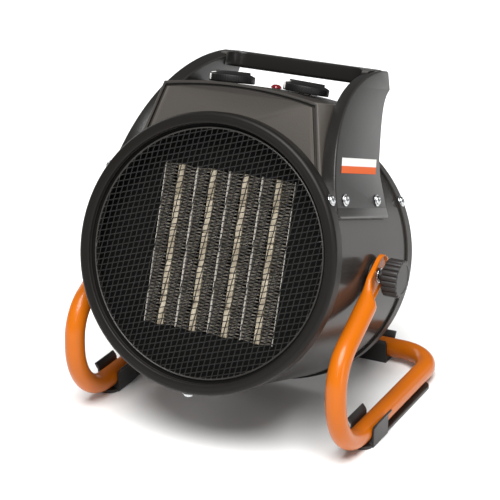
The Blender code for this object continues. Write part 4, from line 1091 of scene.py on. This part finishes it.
def build_controls():
    low, high = extent("selector_knob", SELECTOR)
    radius, height = outer_radius("selector_knob", SELECTOR), high.z - low.z
    knob = knob_mesh(radius, height)
    mark = edged(slab([rectangle(0.0042, 0.0026)], 0.0004), 0.0001, 1)
    side_mark = edged(slab([rectangle(0.0026, height - 0.0018)], 0.0004), 0.0001, 1)
    for name, spindle in (("selector", SELECTOR), ("thermostat", THERMOSTAT)):
        seat = spindle @ at(z=low.z)
        piece(name + "_dial", knob, seat, name, KNOB_PLASTIC, [name + "_knob"], "knob_plastic")
        aimed = seat @ Matrix.Rotation(math.radians(POINTER_ANGLE), 4, "Z")
        top = aimed @ at(x=radius * 0.84, z=height + 0.0004) @ Matrix.Rotation(0.22, 4, "Y")
        flank = aimed @ at(x=radius, z=height / 2) @ SIDEWAYS @ Matrix.Rotation(QUARTER, 4, "Z")
        pointer = joined([(mark, seat.inverted() @ top), (side_mark, seat.inverted() @ flank)])
        piece(name + "_pointer", pointer, seat, name, MARK_PAINT)
    for node in ("selector_switch", "thermostat_body", "lamp_socket"):
        dress(node, SOCKET_PLASTIC)
    lamp_low, lamp_high = extent("lamp_lens", FACE)
    base = lamp_high.y - LENS_DOME
    reach = (lamp_high.x - lamp_low.x) / 2
    side = ((0.0, LENS_DOME), (reach * 0.6, LENS_DOME), (reach * 0.95, 0.0018), (reach, 0.0))
    dome = [(0.0, LENS_DOME)] + bezier(side, 12)[1:]
    dome += [(0.0034, 0.0), (0.0034, lamp_low.y - base), (0.0, lamp_low.y - base)]
    place = FACE @ at(y=base, z=(lamp_low.z + lamp_high.z) / 2) @ UPWAYS
    piece("lamp_dome", turned(dome, 48), place, "drum", tinted_acrylic(), ["lamp_lens"], "red_lens")
    dress("cord_grommet", FOOT_RUBBER)


# ---------- screws and clamps
SCREW_HEAD = 0.0026


def screw_mesh():
    """Pan head on a pressed flange, with a cross recess and a plain shank."""
    head, flange, top = 0.0034, 0.0044, SCREW_HEAD
    side = ((0.0, top), (head * 0.6, top), (head, top * 0.8), (head, top * 0.35))
    profile = [(0.0, top)] + bezier(side, 10)[1:]
    profile += [(head, 0.0008), (head + 0.0003, 0.0006), (flange - 0.0003, 0.0006)]
    profile += arc(0.0003, QUARTER, -QUARTER, 4, (flange - 0.0003, 0.0003))
    profile += [(0.0019, 0.0), (0.0019, -0.0070), (0.0, -0.0078)]
    body = turned(profile, 48)
    cuts = []
    for angle in (0.3, 0.3 + QUARTER):
        slot = edged(slab([rectangle(0.0038, 0.0010)], 0.0030), 0.0002, 1)
        cuts.append((slot, at(z=top) @ Matrix.Rotation(angle, 4, "Z")))
    return combined(body, "DIFFERENCE", cuts)


def build_screws():
    screw = screw_mesh()
    names = [f"{end}_screw_{i}" for end in ("front", "rear") for i in (1, 2, 3)]
    names += [f"handle_screw_{side}_{end}" for side in ("left", "right") for end in ("front", "rear")]
    for name in names:
        node = frame["nodes"][name]
        points = [FACE.inverted() @ vertex.co for vertex in node.data.vertices]
        centre = sum(points, Vector()) / len(points)
        if name.startswith("handle"):
            lean = math.copysign(1.0, centre.x) * ARM_LEAN
            outward = Vector((math.copysign(math.cos(lean), centre.x), math.sin(abs(lean)), 0.0))
        else:
            outward = Vector((centre.x, centre.y, 0.0)).normalized()
        along = [point.dot(outward) for point in points]
        seat = centre + outward * (max(along) - SCREW_HEAD - centre.dot(outward))
        turn = outward.to_track_quat("Z", "Y").to_matrix().to_4x4()
        place = FACE @ Matrix.Translation(seat) @ turn
        piece(name + "_pan_head", screw, place, "drum", ZINC, [name], "zinc")


CLAMP_FLUTES = 20


def clamp_mesh(low, high):
    """Fluted hand knob with its neck and stud, along Z from the drum outwards."""
    radius, thickness, neck = 0.0138, 0.0120, 0.0058
    outline = []
    for i in range(CLAMP_FLUTES * 12):
        angle = math.tau * i / (CLAMP_FLUTES * 12)
        wave = abs(math.cos(CLAMP_FLUTES * angle / 2)) ** 0.6
        r = radius - 0.0011 * (1 - wave)
        outline.append((r * math.cos(angle), r * math.sin(angle)))
    head = slab([outline], thickness, 0.0008, 3)
    head.transform(at(z=high - thickness / 2))
    recess = turned([(0.0, 0.001), (radius - 0.0030, 0.001), (radius - 0.0034, -0.0003), (0.0, -0.0003)], 96)
    head = combined(head, "DIFFERENCE", [(recess, at(z=high))])
    inner = high - thickness
    stem = [(0.0, inner + 0.001), (neck, inner + 0.001), (neck, inner - 0.0040), (0.0029, inner - 0.0040)]
    stem += [(0.0029, low + 0.0006), (0.0023, low), (0.0, low)]
    return combined(head, "UNION", [(turned(stem, 48), Matrix())])


def build_clamps():
    low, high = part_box("clamp_knob_right")
    knob = clamp_mesh(low.x, high.x)
    washer_low, washer_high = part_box("clamp_washer_right")
    thickness = washer_high.x - washer_low.x
    ring = [(0.0051, thickness)] + arc(0.0003, QUARTER, 0.0, 3, (0.0051, thickness - 0.0003))[1:]
    ring += [(0.0054, 0.0), (0.0033, 0.0), (0.0033, thickness)]
    washer = turned(ring, 64, closed=True)
    for side, sign in (("right", 1), ("left", -1)):
        axis = Matrix.Translation(PIVOT) @ Matrix.Rotation(sign * QUARTER, 4, "Y")
        body = "clamp_" + side
        piece("hand_knob_" + side, knob, axis, body, CLAMP_PLASTIC, ["clamp_knob_" + side], "knob_plastic")
        place = axis @ at(z=washer_low.x)
        piece("plain_washer_" + side, washer, place, "washer_" + side, ZINC, ["clamp_washer_" + side], "zinc")
        dress("friction_spacer_" + side, KNOB_PLASTIC)
        dress("pivot_nut_" + side, ZINC)


def build_fan():
    for node in ("fan_impeller", "motor_can", "motor_spider"):
        dress(node, PRESSED_STEEL)
    dress("motor_shaft", ZINC)


# ---------- studio
CAMERA_OFFSET = Vector((0.59418, -1.15166, 0.50591))
CAMERA_AZIMUTH = math.radians(25.84)
CAMERA_ELEVATION = math.radians(21.21)
CAMERA_ROLL = math.radians(0.47)
CAMERA_LENS = 143.1


def build_camera():
    data = bpy.data.cameras.new("camera")
    data.lens = CAMERA_LENS
    data.sensor_width = 36.0
    a, e = CAMERA_AZIMUTH, CAMERA_ELEVATION
    right = Vector((math.cos(a), math.sin(a), 0.0))
    up = Vector((-math.sin(a) * math.sin(e), math.cos(a) * math.sin(e), math.cos(e)))
    back = Vector((math.sin(a) * math.cos(e), -math.cos(a) * math.cos(e), math.sin(e)))
    turned_right = right * math.cos(CAMERA_ROLL) + up * math.sin(CAMERA_ROLL)
    turned_up = up * math.cos(CAMERA_ROLL) - right * math.sin(CAMERA_ROLL)
    turn = Matrix((turned_right, turned_up, back)).transposed().to_4x4()
    camera = placed("camera", data, Matrix.Translation(FACE.translation + CAMERA_OFFSET) @ turn)
    bpy.context.scene.camera = camera


WORLD_LIGHT = 0.12
OVERHEAD_LIGHT = 5.6
OVERHEAD_SPREAD = math.radians(40.0)
OVERHEAD_DIRECTION = Vector((-0.15, 0.46, -0.87))
FLOOR_SIZE = 12.0


def softbox(name, place, size, power, target=(0.0, 0.0, 0.12)):
    data = bpy.data.lights.new(name, "AREA")
    data.shape = "RECTANGLE"
    data.size, data.size_y = size
    data.energy = power
    light = placed(name, data)
    light.location = place
    light.rotation_euler = (Vector(target) - Vector(place)).to_track_quat("-Z", "Y").to_euler()


def build_studio():
    sheet = bpy.data.meshes.new("floor")
    half = FLOOR_SIZE / 2
    corners = [(-half, -half, 0), (half, -half, 0), (half, half, 0), (-half, half, 0)]
    sheet.from_pydata(corners, [], [(0, 1, 2, 3)])
    floor = placed("studio_floor", sheet)
    material, tree, shader, place = start("white_paper_floor", roughness=0.7)
    shader.inputs["Base Color"].default_value = linear("#f2f2f1")
    fibre = add(tree, "TexNoise", sized(place, 3.0))
    skin = add(tree, "Bump", {"Height": fibre.outputs["Fac"], "Strength": 0.02, "Distance": 0.0001})
    tree.links.new(skin.outputs["Normal"], shader.inputs["Normal"])
    sheet.materials.append(material)
    world = bpy.data.worlds.new("studio")
    bpy.context.scene.world = world
    world.use_nodes = True
    world.node_tree.nodes["Background"].inputs["Color"].default_value = (1.0, 1.0, 1.0, 1.0)
    world.node_tree.nodes["Background"].inputs["Strength"].default_value = WORLD_LIGHT
    sun = bpy.data.lights.new("overhead_bank", "SUN")
    sun.energy = OVERHEAD_LIGHT
    sun.angle = OVERHEAD_SPREAD
    bank = placed("overhead_bank", sun)
    bank.rotation_euler = OVERHEAD_DIRECTION.to_track_quat("-Z", "Y").to_euler()
    softbox("front_strip", (0.55, -1.7, 1.1), (0.12, 1.0), 3.0)
    softbox("side_right", (1.6, -0.6, 0.5), (0.4, 0.9), 5.0)
    softbox("back_left", (-1.6, 0.9, 0.9), (0.5, 1.2), 6.0)
    softbox("back_right", (1.2, 1.6, 0.8), (0.8, 1.0), 2.5)
    bpy.context.scene.view_settings.view_transform = "Standard"


build_camera()
build_stand()
build_shell()
build_rings()
build_guard()
build_rear_guard()
build_block()
build_handle()
build_box()
build_controls()
build_screws()
build_clamps()
build_fan()
build_studio()
